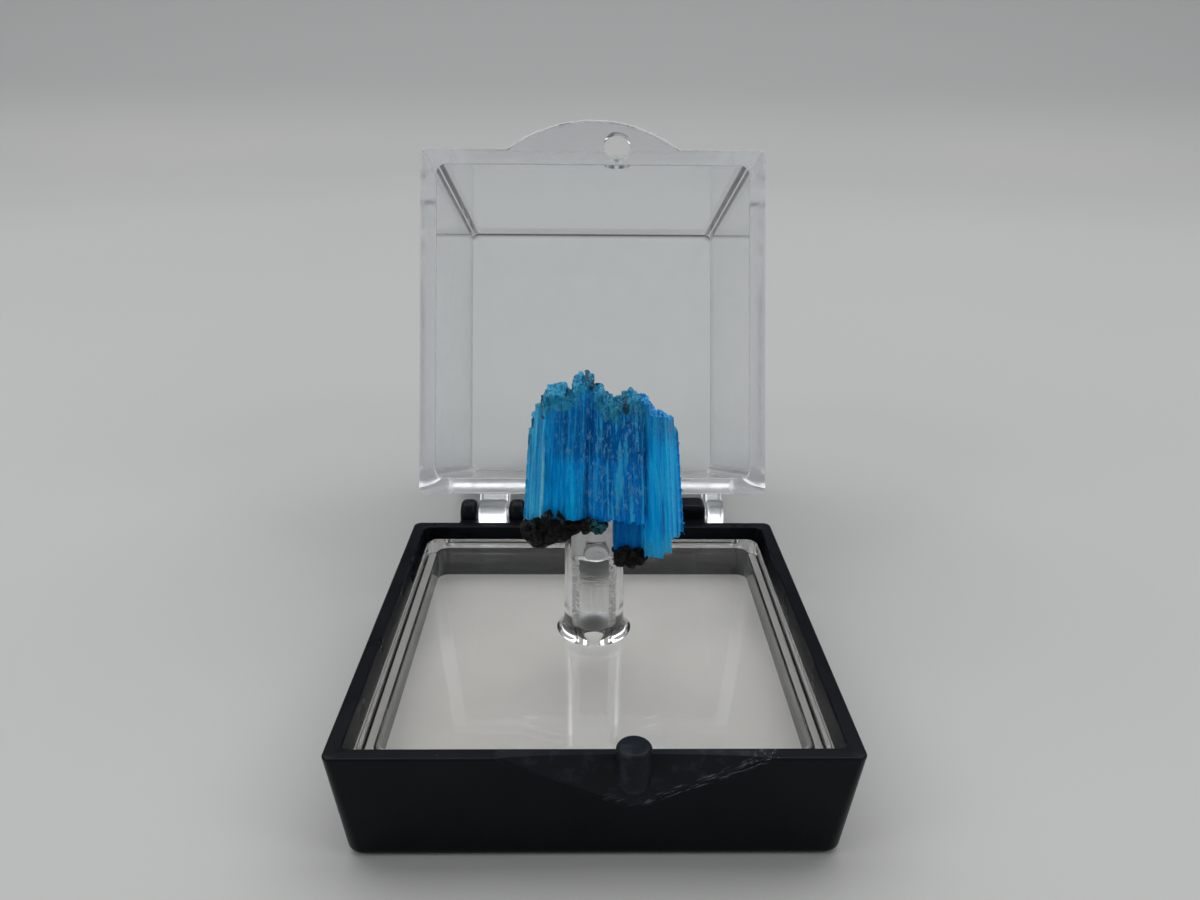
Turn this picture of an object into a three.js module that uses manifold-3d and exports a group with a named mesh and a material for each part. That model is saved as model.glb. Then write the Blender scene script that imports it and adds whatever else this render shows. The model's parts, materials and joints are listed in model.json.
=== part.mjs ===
// A columnar chalcanthite crystal with its dark matrix, glued to the post of a clear stand inside a small
// hinged specimen box, which stands open. Millimetres, +Z up, origin in the middle of the tray's underside;
// the latch pin faces -Y and the hinge is at the back, along X.
import * as THREE from "three";
import { mergeVertices } from "three/addons/utils/BufferGeometryUtils.js";
import Module from "manifold-3d";

const wasm = await Module();
wasm.setup();

// The box's driving sizes
const BOX_WIDTH = 31.75;
const RIM_HEIGHT = 7.9;
const CLOSED_HEIGHT = 35;
const CORNER_RADIUS = 0.6;
const TRAY_WALL = 1.0;
const TRAY_FLOOR = 1.5;
const TRAY_DRAFT = 0.65;
const FOOT_CORNER = 1.0;
const FOOT_ROUNDING = 0.65;
const INNER_DRAFT = 0.1;
const INNER_CORNER = 0.5;
const LID_WALL = 1.5;
const LID_TOP = 1.4;
const LID_DRAFT = 0.27;
const LID_INNER_CORNER = 0.8;
const LID_ROUNDING = 0.5;
const MOUTH_GAP = 0.1;
const OPEN_ANGLE = 111.4;

// The hinge: its axis lies behind the back wall at the height of the rim
const HINGE_OFFSET = 1.8;
const KNUCKLE_RADIUS = 1.34;
const PIVOT_RADIUS = 0.6;
const PIVOT_CLEARANCE = 0.08;
const PIVOT_REACH = 1.05;
const SIDE_CLEARANCE = 0.15;
const EAR_WIDTH = 1.5;
const LEFT_KNUCKLE = [-10.3, -7.75];
const RIGHT_LUG = [7.45, 10.2];
const GUSSET_DROP = 3.6;
const ARM_LIFT = 0.3;
const ARM_TUCK = 0.05;
const JOIN_DEPTH = 0.6;
const EAR_BACK = 1.0;
const EAR_DROP = 0.87;
const ARM_FRONT = 0.8;
const ARM_BACK = 1.14;
const ARM_RISE = 0.67;
const LUG_HALF = 1.15;
const LUG_RISE = 1.3;
const LUG_CORNER = 0.45;

// The latch: a pin on the front wall, and a tab with a hole on the lid
const PIN_X = 2.2;
const PIN_Y = -16.2;
const PIN_RADIUS = 1.05;
const PIN_TOP = 9.15;
const PIN_FOOT = 5.95;
const PIN_SOFT_EDGE = 0.2;
const PIN_HOLE_RADIUS = 1.25;
const PIN_HOLE_TOP = 9.65;
const TAB_HALF_WIDTH = 7.95;
const TAB_REACH = 2.7;
const TAB_THICKNESS = 1.1;
const TAB_ROOT = 0.6;
const RECESS_BOTTOM = 4.15;
const RECESS_HALF_WIDTH = 8.1;
const RECESS_DEPTH = 0.45;

// The card on the floor of the tray, and the clear stand on the card
const CARD_HALF = 14.5;
const CARD_THICKNESS = 1.6;
const CARD_CORNER = 0.4;
const REST_GAP = 0.05;
const STAND_HALF = 14.6;
const STAND_TOP = 7;
const STAND_PLATE = 1.1;
const STAND_WALL = 1.0;
const STAND_CORNER = 0.9;
const STAND_INNER_CORNER = 0.7;
const STAND_DRAFT = 0.05;
const STAND_SOFT_EDGE = 0.25;
const POST_FOOT_RADIUS = 2.7;
const POST_FLARE_HEIGHT = 0.65;
const POST_RADIUS = 2.17;
const POST_TOP_RADIUS = 2.02;
const POST_TOP = 17.55;
const POST_FLAT_Y = -1.4;
const LEDGE_HEIGHT = 13.45;
const CORE_RADIUS = 0.9;
const CORE_TOP = 8.7;

// The crystal: upright columns that spread a little towards their feet
const CRYSTAL_BACK = -1.7;
const CREST_Y = -2.9;
const CREST_FALL = 0.22;
const TOP_CHIPS = 0.45;
const BULGE = 0.03;
const CRYSTAL_STEP = 17.85;
const SPREAD_HEIGHT = 22.25;
const SPREAD_PER_MM = 0.0165;
const BACK_OVERLAP = 0.7;
const BACK_SLANT = 0.25;
const BACK_CREST = 0.15;
const BACK_FALL = 0.12;

// Ribs on the columns' fronts: ranges for each one's place, half-width and height as shares, and for how far
// its ends lie from the column's own
const RIB_SPACING = 0.38;
const RIB_HEIGHT = 0.1;
const RIB_PLACE = [0.3, 0.7];
const RIB_HALF_WIDTH = [0.22, 0.42];
const RIB_PROUD = [0.4, 1];
const RIB_START = [0.1, 1];
const RIB_END = [0.15, -0.95];
const RIB_SLOPE = 0.8;
const MATRIX_GAP = 0.12;

// Columns of the front, from left to right at the spread height: the two edges, the front face's place at
// each edge, the height of the foot, and the height and rightward rise of the broken top
const FRONT_COLUMNS = [
  { from: -4.38, to: -3.95, front: [-2.7, -3.4], foot: 17, top: 23.55, rise: 0.6 },
  { from: -4.0, to: -3.6, front: [-3.4, -3.9], foot: 17.25, top: 25.1, rise: 0.6 },
  { from: -3.65, to: -3.2, front: [-3.9, -4.45], foot: 17.55, top: 25.85, rise: 1.2 },
  { from: -3.25, to: -2.6, front: [-4.25, -4.3], foot: 17.65, top: 26.35, rise: -0.1 },
  { from: -2.65, to: -2.0, front: [-4.3, -4.35], foot: 17.65, top: 26.4, rise: 0.3 },
  { from: -2.05, to: -1.45, front: [-4.35, -4.35], foot: 17.65, top: 26.05, rise: 0 },
  { from: -1.5, to: -0.95, front: [-4.4, -4.4], foot: 17.65, top: 26.8, rise: 0.6 },
  { from: -1.0, to: -0.6, front: [-4.35, -4.2], foot: 17.55, top: 26.9, rise: 0.5 },
  { from: -0.65, to: -0.15, front: [-3.9, -4.05], foot: 17.45, top: 27.1, rise: -0.2 },
  { from: -0.2, to: 0.5, front: [-4.1, -4.15], foot: 17.35, top: 26.3, rise: 0.2 },
  { from: 0.45, to: 1.15, front: [-4.2, -4.2], foot: 17.45, top: 25.75, rise: -0.5 },
  { from: 1.1, to: 1.9, front: [-4.25, -4.2], foot: 17.4, top: 25.55, rise: 0 },
  { from: 1.85, to: 2.5, front: [-4.3, -4.3], foot: 17.4, top: 25.9, rise: 0.3 },
  { from: 2.45, to: 3.05, front: [-4.3, -4.2], foot: 17.15, top: 25.9, rise: -0.5 },
  { from: 3.0, to: 3.6, front: [-4.0, -4.15], foot: 14.85, top: 25.6, rise: -0.5 },
  { from: 3.55, to: 4.1, front: [-4.2, -4.05], foot: 14.7, top: 25.05, rise: -1.0 },
  { from: 4.05, to: 4.65, front: [-4.0, -3.6], foot: 15, top: 24.5, rise: -0.5 },
  { from: 4.6, to: 5.2, front: [-3.6, -2.9], foot: 15.75, top: 24.25, rise: -0.4 },
  { from: 5.15, to: 5.47, front: [-2.9, -2.3], foot: 15.85, top: 23.45, rise: -0.5 },
];

// The sunken blue leg under the middle columns
const SUNKEN_LEG = { from: 1.17, to: 3.1, front: [-3.5, -3.5], foot: 15, top: 18.75, rise: 0 };

// Columns of the back, which step out over the top of the post
const BACK_COLUMNS = [
  { from: -4.25, to: -3.0, back: -0.7, foot: 18.15, top: 24.15, rise: 0.5 },
  { from: -3.1, to: -1.9, back: 0.1, foot: 17.45, top: 25.05, rise: 0.2 },
  { from: -2.0, to: -0.6, back: 0.45, foot: CRYSTAL_STEP, top: 25.25, rise: 0.2 },
  { from: -0.7, to: 0.7, back: 0.25, foot: CRYSTAL_STEP, top: 24.85, rise: -0.3 },
  { from: 0.6, to: 1.9, back: 0.55, foot: CRYSTAL_STEP, top: 24.45, rise: 0 },
  { from: 1.8, to: 3.0, back: 0.2, foot: 18.05, top: 24.65, rise: 0.2 },
  { from: 2.9, to: 4.1, back: -0.2, foot: 16.85, top: 24.15, rise: -0.6 },
  { from: 4.0, to: 4.95, back: -1.0, foot: 17.25, top: 23.35, rise: -0.3 },
];

// Lumps of the dark matrix: middle and half-sizes
const LEFT_LUMPS = [
  { at: [-4.1, -3.2, 16.65], size: [0.85, 1.5, 0.95] },
  { at: [-3.6, -3.5, 16.6], size: [1.0, 1.6, 1.25] },
  { at: [-3.05, -3.6, 17], size: [0.95, 1.65, 1.5] },
  { at: [-2.2, -3.6, 17.1], size: [0.95, 1.45, 1.15] },
  { at: [-1.4, -3.55, 17.35], size: [0.9, 1.3, 0.8] },
  { at: [-0.65, -3.7, 17.35], size: [0.65, 1.3, 0.75] },
  { at: [0.1, -3.8, 17.25], size: [0.58, 1.1, 0.9] },
];
const RIGHT_LUMPS = [
  { at: [1.9, -3.3, 14.6], size: [0.68, 1.15, 0.75] },
  { at: [2.45, -3.35, 14.5], size: [0.7, 1.2, 0.72] },
  { at: [3.0, -3.3, 14.65], size: [0.6, 1.1, 0.7] },
];
const LUMP_ROUGHNESS = 0.22;

// Clear glue: how far the pad and the film on the post's top reach, and two drops on the post's flat
const PAD_HALF_WIDTH = 1.25;
const PAD_FOOT = 15.35;
const FILM_HALF_WIDTH = 1.1;
const FILM_BACK = 0.15;
const FILM_OVERLAP = 0.1;
const LEDGE_DROP = { at: [0.15, -1.75, 13.95], size: [0.78, 0.5, 0.75] };
const UPPER_DROP = { at: [0.1, -1.55, 14.95], size: [0.6, 0.22, 1.0] };

// Worked-out places
const HALF = BOX_WIDTH / 2;
const HINGE_Y = HALF + HINGE_OFFSET;
const CARD_TOP = TRAY_FLOOR + REST_GAP + CARD_THICKNESS;
const STAND_FOOT = CARD_TOP + REST_GAP;
const ARC_STEPS = 5;
const ROUND_STEPS = 36;
const SMALL_ROUND_STEPS = 20;
const TAB_STEPS = 80;
const THROUGH = 1;

// A closed geometry as a solid for joining and cutting
function solidOf(geometry) {
  const bare = geometry.clone();
  bare.deleteAttribute("normal");
  bare.deleteAttribute("uv");
  const merged = mergeVertices(bare, 1e-5);
  return new wasm.Manifold(
    new wasm.Mesh({
      numProp: 3,
      vertProperties: merged.getAttribute("position").array,
      triVerts: new Uint32Array(merged.index.array),
    }),
  );
}

function geometryOf(solid) {
  const mesh = solid.getMesh();
  const geometry = new THREE.BufferGeometry();
  geometry.setAttribute("position", new THREE.BufferAttribute(mesh.vertProperties, 3));
  geometry.setIndex(new THREE.BufferAttribute(mesh.triVerts, 1));
  geometry.computeVertexNormals();
  return geometry;
}

function joined(solids) {
  return solids.reduce((whole, next) => whole.add(next));
}

function namedMesh(name, solid, material) {
  const mesh = new THREE.Mesh(geometryOf(solid), material);
  mesh.name = name;
  return mesh;
}

// A repeatable number from 0 to 1 for the natural unevenness of crystal and rock
function uneven(a, b) {
  const wave = Math.sin(a * 12.9898 + b * 78.233) * 43758.5453;
  return wave - Math.floor(wave);
}

function within([low, high], share) {
  return low + (high - low) * share;
}

function block(low, high) {
  const size = high.map((value, axis) => value - low[axis]);
  const geometry = new THREE.BoxGeometry(...size);
  geometry.translate(...low.map((value, axis) => value + size[axis] / 2));
  return solidOf(geometry);
}

function uprightRod(x, y, radius, low, high, steps = SMALL_ROUND_STEPS) {
  const geometry = new THREE.CylinderGeometry(radius, radius, high - low, steps);
  geometry.rotateX(Math.PI / 2);
  geometry.translate(x, y, (low + high) / 2);
  return solidOf(geometry);
}

function crossRod(y, z, radius, low, high) {
  const geometry = new THREE.CylinderGeometry(radius, radius, high - low, SMALL_ROUND_STEPS);
  geometry.rotateZ(Math.PI / 2);
  geometry.translate((low + high) / 2, y, z);
  return solidOf(geometry);
}

// An outline in Y and Z, drawn out along X from low to high
function crossPlate(outline, low, high) {
  const shape = new THREE.Shape(outline.map(([y, z]) => new THREE.Vector2(y, z)));
  const geometry = new THREE.ExtrudeGeometry(shape, { depth: high - low, bevelEnabled: false });
  geometry.applyMatrix4(new THREE.Matrix4().makeBasis(
    new THREE.Vector3(0, 1, 0),
    new THREE.Vector3(0, 0, 1),
    new THREE.Vector3(1, 0, 0),
  ));
  geometry.translate(low, 0, 0);
  return solidOf(geometry);
}

function roundedSquare(half, radius) {
  const shape = new THREE.Shape();
  const inner = half - radius;
  shape.absarc(inner, inner, radius, 0, Math.PI / 2);
  shape.absarc(-inner, inner, radius, Math.PI / 2, Math.PI);
  shape.absarc(-inner, -inner, radius, Math.PI, Math.PI * 1.5);
  shape.absarc(inner, -inner, radius, Math.PI * 1.5, Math.PI * 2);
  return shape;
}

// A rounded square drawn up through levels, each with its own half-width and, if given, corner radius
function squareTower(radius, levels) {
  const base = levels[0].half;
  const steps = levels.length - 1;
  const geometry = new THREE.ExtrudeGeometry(roundedSquare(base, radius), {
    depth: steps,
    steps,
    bevelEnabled: false,
    curveSegments: ARC_STEPS,
  });
  const place = geometry.getAttribute("position");
  const middle = base - radius;
  for (let i = 0; i < place.count; i++) {
    const { half, z, corner = radius } = levels[Math.round(place.getZ(i))];
    const [x, y] = [place.getX(i), place.getY(i)].map((value) => {
      const beyond = Math.abs(value) - middle;
      return Math.sign(value) * (half - corner + (beyond * corner) / radius);
    });
    place.setXYZ(i, x, y, z);
  }
  return solidOf(geometry);
}

// Steps of a quarter round, from 0 to 1 across and down
function quarterRound(steps) {
  return Array.from({ length: steps + 1 }, (_, k) => {
    const angle = (Math.PI / 2) * (k / steps);
    return { across: Math.sin(angle), down: 1 - Math.cos(angle) };
  });
}

// A profile of radius and height, turned about the Z axis
function turned(profile) {
  const points = profile.map(([radius, z]) => new THREE.Vector2(radius, z));
  const geometry = new THREE.LatheGeometry(points, ROUND_STEPS);
  geometry.rotateX(Math.PI / 2);
  return solidOf(geometry);
}

function latchRecess() {
  const height = (RIM_HEIGHT - RECESS_BOTTOM) * 2;
  const geometry = new THREE.ConeGeometry(1, height, ROUND_STEPS);
  geometry.rotateX(-Math.PI / 2);
  geometry.scale(RECESS_HALF_WIDTH * 2, RECESS_DEPTH * 2, 1);
  geometry.translate(PIN_X, -HALF, RECESS_BOTTOM + height / 2);
  return solidOf(geometry);
}

// The latch pin has a ball-shaped lower end and a softened top edge
function latchPin() {
  const ball = quarterRound(4).map(({ across, down }) => [PIN_RADIUS * across, PIN_FOOT + PIN_RADIUS * down]);
  const edge = PIN_SOFT_EDGE;
  const profile = [...ball, [PIN_RADIUS, PIN_TOP - edge], [PIN_RADIUS - edge, PIN_TOP], [0, PIN_TOP]];
  return turned(profile).translate([PIN_X, PIN_Y, 0]);
}

// The side view of a hinge ear of the tray: a round eye on an arm with a gusset down the back wall
function trayEar(low, high) {
  const wall = HALF - JOIN_DEPTH;
  const arm = [
    [wall, RIM_HEIGHT - GUSSET_DROP],
    [HINGE_Y + EAR_BACK, RIM_HEIGHT - EAR_DROP],
    [HINGE_Y + KNUCKLE_RADIUS / 2, RIM_HEIGHT],
    [wall, RIM_HEIGHT],
  ];
  return crossPlate(arm, low, high).add(crossRod(HINGE_Y, RIM_HEIGHT, KNUCKLE_RADIUS, low, high));
}

// The broad lug at the right has a flat top
function trayLug(low, high) {
  const wall = HALF - JOIN_DEPTH;
  const half = LUG_HALF;
  const top = RIM_HEIGHT + LUG_RISE;
  const corner = LUG_CORNER;
  const side = [
    [wall, RIM_HEIGHT - GUSSET_DROP],
    [HINGE_Y + half, RIM_HEIGHT - 1],
    [HINGE_Y + half, top - corner],
    [HINGE_Y + half - corner, top],
    [HINGE_Y - half + corner, top],
    [HINGE_Y - half, top - corner],
    [HINGE_Y - half, RIM_HEIGHT],
    [wall, RIM_HEIGHT],
  ];
  return crossPlate(side, low, high);
}

function pivotHole(low, high) {
  return crossRod(HINGE_Y, RIM_HEIGHT, PIVOT_RADIUS + PIVOT_CLEARANCE, low, high);
}

function makeTray() {
  const footHalf = HALF - TRAY_DRAFT;
  const foot = quarterRound(3).map(({ across, down }) => ({
    z: FOOT_ROUNDING * down,
    half: footHalf - FOOT_ROUNDING * (1 - across),
    corner: FOOT_CORNER,
  }));
  const outer = squareTower(FOOT_CORNER, [...foot, { z: RIM_HEIGHT, half: HALF, corner: CORNER_RADIUS }]);
  const inner = squareTower(INNER_CORNER, [
    { z: TRAY_FLOOR, half: HALF - TRAY_WALL - INNER_DRAFT },
    { z: RIM_HEIGHT, half: HALF - TRAY_WALL },
    { z: RIM_HEIGHT + THROUGH, half: HALF - TRAY_WALL },
  ]);
  const leftEars = [
    [LEFT_KNUCKLE[0] - SIDE_CLEARANCE - EAR_WIDTH, LEFT_KNUCKLE[0] - SIDE_CLEARANCE],
    [LEFT_KNUCKLE[1] + SIDE_CLEARANCE, LEFT_KNUCKLE[1] + SIDE_CLEARANCE + EAR_WIDTH],
  ];
  const ears = leftEars.map(([low, high]) => trayEar(low, high));
  const shell = outer.subtract(inner).subtract(latchRecess());
  const whole = joined([shell, latchPin(), ...ears, trayLug(...RIGHT_LUG)]);
  return whole
    .subtract(pivotHole(leftEars[0][0] - THROUGH, leftEars[1][1] + THROUGH))
    .subtract(pivotHole(RIGHT_LUG[0] - THROUGH, RIGHT_LUG[1] + THROUGH));
}

// The lid is built closed, and its group then turns it open about the hinge
function lidArm(low, high) {
  const wall = HALF - LID_WALL / 2;
  const arm = [
    [wall, RIM_HEIGHT + MOUTH_GAP + ARM_LIFT],
    [HINGE_Y - ARM_FRONT, RIM_HEIGHT],
    [HINGE_Y + ARM_BACK, RIM_HEIGHT + ARM_RISE],
    [HALF - ARM_TUCK, RIM_HEIGHT + GUSSET_DROP],
    [wall, RIM_HEIGHT + GUSSET_DROP],
  ];
  return crossPlate(arm, low, high).add(crossRod(HINGE_Y, RIM_HEIGHT, KNUCKLE_RADIUS, low, high));
}

function lidTab() {
  const radius = (TAB_HALF_WIDTH ** 2 + TAB_REACH ** 2) / (2 * TAB_REACH);
  const low = RIM_HEIGHT + MOUTH_GAP;
  const disc = uprightRod(0, -HALF - TAB_REACH + radius, radius, low, low + TAB_THICKNESS, TAB_STEPS);
  const top = low + TAB_THICKNESS + THROUGH;
  const keep = block([-HALF, -HALF - TAB_REACH - THROUGH, low - THROUGH], [HALF, -HALF + TAB_ROOT, top]);
  return disc.intersect(keep);
}

function makeLid() {
  const low = RIM_HEIGHT + MOUTH_GAP;
  const far = HALF - LID_DRAFT;
  const top = quarterRound(3).reverse().map(({ across, down }) => ({
    z: CLOSED_HEIGHT - LID_ROUNDING * down,
    half: far - LID_ROUNDING * (1 - across),
  }));
  const outer = squareTower(CORNER_RADIUS, [{ z: low, half: HALF }, ...top]);
  const mouth = HALF - LID_WALL;
  const inner = squareTower(LID_INNER_CORNER, [
    { z: low - THROUGH, half: mouth },
    { z: low, half: mouth },
    { z: CLOSED_HEIGHT - LID_TOP, half: mouth - LID_DRAFT },
  ]);
  const knuckle = lidArm(...LEFT_KNUCKLE);
  const rightArms = [
    [RIGHT_LUG[0] - SIDE_CLEARANCE - EAR_WIDTH, RIGHT_LUG[0] - SIDE_CLEARANCE],
    [RIGHT_LUG[1] + SIDE_CLEARANCE, RIGHT_LUG[1] + SIDE_CLEARANCE + EAR_WIDTH],
  ];
  const reach = SIDE_CLEARANCE + PIVOT_REACH;
  const pivots = [
    [LEFT_KNUCKLE[0] - reach, LEFT_KNUCKLE[1] + reach],
    [rightArms[0][0] + THROUGH, RIGHT_LUG[0] + PIVOT_REACH],
    [RIGHT_LUG[1] - PIVOT_REACH, rightArms[1][1] - THROUGH],
  ].map(([from, to]) => crossRod(HINGE_Y, RIM_HEIGHT, PIVOT_RADIUS, from, to));
  const body = outer.subtract(inner).add(lidTab());
  const hole = uprightRod(PIN_X, PIN_Y, PIN_HOLE_RADIUS, low - THROUGH, PIN_HOLE_TOP);
  const arms = rightArms.map(([from, to]) => lidArm(from, to));
  return joined([body.subtract(hole), knuckle, ...arms, ...pivots]);
}

function makeCard() {
  return squareTower(CARD_CORNER, [
    { z: TRAY_FLOOR + REST_GAP, half: CARD_HALF },
    { z: CARD_TOP, half: CARD_HALF },
  ]);
}

// The stand is an upside-down shallow tray with a cored post, whose front is cut flat above a ledge
function makeStand() {
  const edge = STAND_SOFT_EDGE;
  const outer = squareTower(STAND_CORNER, [
    { z: STAND_FOOT, half: STAND_HALF },
    { z: STAND_TOP - edge, half: STAND_HALF - STAND_DRAFT },
    { z: STAND_TOP, half: STAND_HALF - edge },
  ]);
  const innerHalf = STAND_HALF - STAND_WALL;
  const inner = squareTower(STAND_INNER_CORNER, [
    { z: STAND_FOOT - THROUGH, half: innerHalf },
    { z: STAND_TOP - STAND_PLATE, half: innerHalf - STAND_DRAFT },
  ]);
  const flare = quarterRound(4).map(({ across, down }) => [
    POST_FOOT_RADIUS - (POST_FOOT_RADIUS - POST_RADIUS) * across,
    STAND_TOP + POST_FLARE_HEIGHT * down,
  ]);
  const root = STAND_TOP - STAND_PLATE / 2;
  const post = turned([
    [0, root],
    [POST_FOOT_RADIUS, root],
    ...flare,
    [POST_TOP_RADIUS, POST_TOP],
    [0, POST_TOP],
  ]);
  const dome = quarterRound(4).reverse().map(({ across, down }) => [
    CORE_RADIUS * across,
    CORE_TOP - CORE_RADIUS * down,
  ]);
  const below = STAND_TOP - STAND_PLATE - THROUGH;
  const core = turned([[0, below], [CORE_RADIUS, below], ...dome]);
  const cut = block(
    [-POST_FOOT_RADIUS, -POST_FOOT_RADIUS, LEDGE_HEIGHT],
    [POST_FOOT_RADIUS, POST_FLAT_Y, POST_TOP + THROUGH],
  );
  return outer.subtract(inner).add(post).subtract(core).subtract(cut);
}

// An upright prism over a plan outline, with a sloping foot and top, spread towards its foot
function prism(plan, footHeight, topHeight) {
  const shape = new THREE.Shape(plan.map(([x, y]) => new THREE.Vector2(x, y)));
  const geometry = new THREE.ExtrudeGeometry(shape, { depth: 1, bevelEnabled: false });
  const place = geometry.getAttribute("position");
  for (let i = 0; i < place.count; i++) {
    const x = place.getX(i);
    const y = place.getY(i);
    const z = place.getZ(i) > 0.5 ? topHeight(x, y) : footHeight(x, y);
    place.setXYZ(i, x * (1 + SPREAD_PER_MM * (SPREAD_HEIGHT - z)), y, z);
  }
  return solidOf(geometry);
}

// The broken top of a front column is highest along a crest, and each of its corners is uneven
function frontColumn(column, index, extra) {
  const { from, to, front, foot, top, rise } = column;
  const middle = (from + to) / 2;
  const plan = [
    [from - extra, CRYSTAL_BACK + extra],
    [from - extra - BULGE, CREST_Y],
    [from - extra, front[0] - extra],
    [middle, (front[0] + front[1]) / 2 - extra - BULGE],
    [to + extra, front[1] - extra],
    [to + extra + BULGE, CREST_Y],
    [to + extra, CRYSTAL_BACK + extra],
  ];
  const chip = (x, y) => TOP_CHIPS * (uneven(x + index, y) - 0.5);
  const fall = (y) => CREST_FALL * Math.abs(y - CREST_Y);
  const topHeight = (x, y) => top + rise * (x - middle) - fall(y) + chip(x, y) + extra;
  const footHeight = (x, y) => foot + TOP_CHIPS * (uneven(y + index, x) - 0.5) - extra;
  return prism(plan, footHeight, topHeight);
}

// Narrow ribs along a column's front face, each ending at its own height
function ribs(column, index) {
  const { from, to, front, foot, top, rise } = column;
  const width = to - from;
  const count = Math.max(1, Math.round(width / RIB_SPACING));
  return Array.from({ length: count }, (_, k) => {
    const share = (k + within(RIB_PLACE, uneven(index, k + 10))) / count;
    const x = from + share * width;
    const y = front[0] + share * (front[1] - front[0]);
    const half = RIB_SPACING * within(RIB_HALF_WIDTH, uneven(index, k + 20));
    const proud = RIB_HEIGHT * within(RIB_PROUD, uneven(index, k + 30));
    const plan = [
      [x - half, y + proud],
      [x - half / 3, y - proud],
      [x + half / 3, y - proud],
      [x + half, y + proud],
    ];
    const middle = (from + to) / 2;
    const start = foot + within(RIB_START, uneven(index, k + 40) ** 3);
    const end = top + rise * (x - middle) + within(RIB_END, uneven(index, k + 50) ** 2);
    return prism(plan, () => start, (px) => end + RIB_SLOPE * (px - x));
  });
}

function backColumn(column, index, extra) {
  const { from, to, back, foot, top, rise } = column;
  const middle = (from + to) / 2;
  const slant = BACK_SLANT * uneven(index, 3);
  const plan = [
    [from - extra, back - slant + extra],
    [from - extra, CRYSTAL_BACK - BACK_OVERLAP],
    [to + extra, CRYSTAL_BACK - BACK_OVERLAP],
    [to + extra, back + extra],
    [middle, back + extra + BACK_CREST],
  ];
  const topHeight = (x, y) => top + rise * (x - middle) - BACK_FALL * (y + 1) + extra;
  return prism(plan, () => foot - extra, topHeight);
}

function makeCrystal() {
  const columns = [...FRONT_COLUMNS, SUNKEN_LEG];
  const fronts = columns.map((column, index) => frontColumn(column, index, 0));
  const backs = BACK_COLUMNS.map((column, index) => backColumn(column, index, 0));
  const ridges = FRONT_COLUMNS.flatMap((column, index) => ribs(column, index));
  return joined([...fronts, ...backs, ...ridges]);
}

// The crystal's room: the same columns, a little larger all round
function crystalRoom() {
  const columns = [...FRONT_COLUMNS, SUNKEN_LEG];
  const extra = MATRIX_GAP + RIB_HEIGHT;
  return joined(columns.map((column, index) => frontColumn(column, index, extra)));
}

// A rough lump: a ball of flat faces pushed in and out, then stretched to its half-sizes
function lump({ at, size }, seed) {
  const ball = new THREE.IcosahedronGeometry(1, 2);
  ball.deleteAttribute("normal");
  ball.deleteAttribute("uv");
  const geometry = mergeVertices(ball, 1e-4);
  const place = geometry.getAttribute("position");
  for (let i = 0; i < place.count; i++) {
    const push = 1 - LUMP_ROUGHNESS * uneven(i + 1, seed);
    const [x, y, z] = [place.getX(i), place.getY(i), place.getZ(i)].map((value) => value * push);
    place.setXYZ(i, at[0] + x * size[0], at[1] + y * size[1], at[2] + z * size[2]);
  }
  return solidOf(geometry);
}

function makeMatrix(lumps, seed) {
  const whole = joined(lumps.map((each, index) => lump(each, seed + index)));
  const pieces = whole.subtract(crystalRoom()).decompose();
  return pieces.reduce((a, b) => (b.volume() > a.volume() ? b : a));
}

// Clear glue: a pad between post and crystal, a film on the post's top, and a drop on the ledge
function makeGlue() {
  const padBack = POST_FLAT_Y - REST_GAP;
  const padFront = CRYSTAL_BACK + REST_GAP;
  const under = CRYSTAL_STEP - REST_GAP;
  const half = PAD_HALF_WIDTH;
  const pad = prism(
    [[-half, padBack], [-half, padFront], [half, padFront], [half, padBack]],
    () => PAD_FOOT,
    () => under,
  );
  const film = block(
    [-FILM_HALF_WIDTH, padBack - FILM_OVERLAP, POST_TOP + REST_GAP],
    [FILM_HALF_WIDTH, FILM_BACK, under],
  );
  const drops = lump(LEDGE_DROP, 71).add(lump(UPPER_DROP, 72));
  const air = block(
    [-POST_RADIUS, POST_FLAT_Y - POST_RADIUS, LEDGE_HEIGHT + REST_GAP],
    [POST_RADIUS, padBack, POST_TOP],
  );
  return joined([pad, film, drops.intersect(air)]);
}

function finish(color, roughness, extra = {}) {
  return new THREE.MeshStandardMaterial({ color, roughness, metalness: 0, ...extra });
}

const blackPlastic = finish(0x0c0d0e, 0.3);
const clearPlastic = finish(0xe6eaec, 0.08, { transparent: true, opacity: 0.25 });
const clearGlue = finish(0xe9ecec, 0.15, { transparent: true, opacity: 0.5 });
const whiteCard = finish(0xc9c7c2, 0.85);
const blueCrystal = finish(0x0a72b0, 0.35);
const darkRock = finish(0x171416, 0.9);

const box = new THREE.Group();
box.add(
  namedMesh("tray", makeTray(), blackPlastic),
  namedMesh("card", makeCard(), whiteCard),
  namedMesh("stand", makeStand(), clearPlastic),
  namedMesh("glue", makeGlue(), clearGlue),
  namedMesh("crystal", makeCrystal(), blueCrystal),
  namedMesh("matrix_left", makeMatrix(LEFT_LUMPS, 11), darkRock),
  namedMesh("matrix_right", makeMatrix(RIGHT_LUMPS, 31), darkRock),
);

const lid = namedMesh("lid", makeLid(), clearPlastic);
lid.position.set(0, -HINGE_Y, -RIM_HEIGHT);
const openLid = new THREE.Group();
openLid.position.set(0, HINGE_Y, RIM_HEIGHT);
openLid.rotation.x = -THREE.MathUtils.degToRad(OPEN_ANGLE);
openLid.add(lid);
box.add(openLid);

export default box;
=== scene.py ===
"""Looks of a blue columnar chalcanthite on its post in a small hinged box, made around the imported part.

Lengths are written in millimetres and turned into metres by MM where a mesh, light or camera is made.
"""

import json
import math

import bmesh
import bpy
import numpy as np
from mathutils import Matrix, Vector, noise

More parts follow.
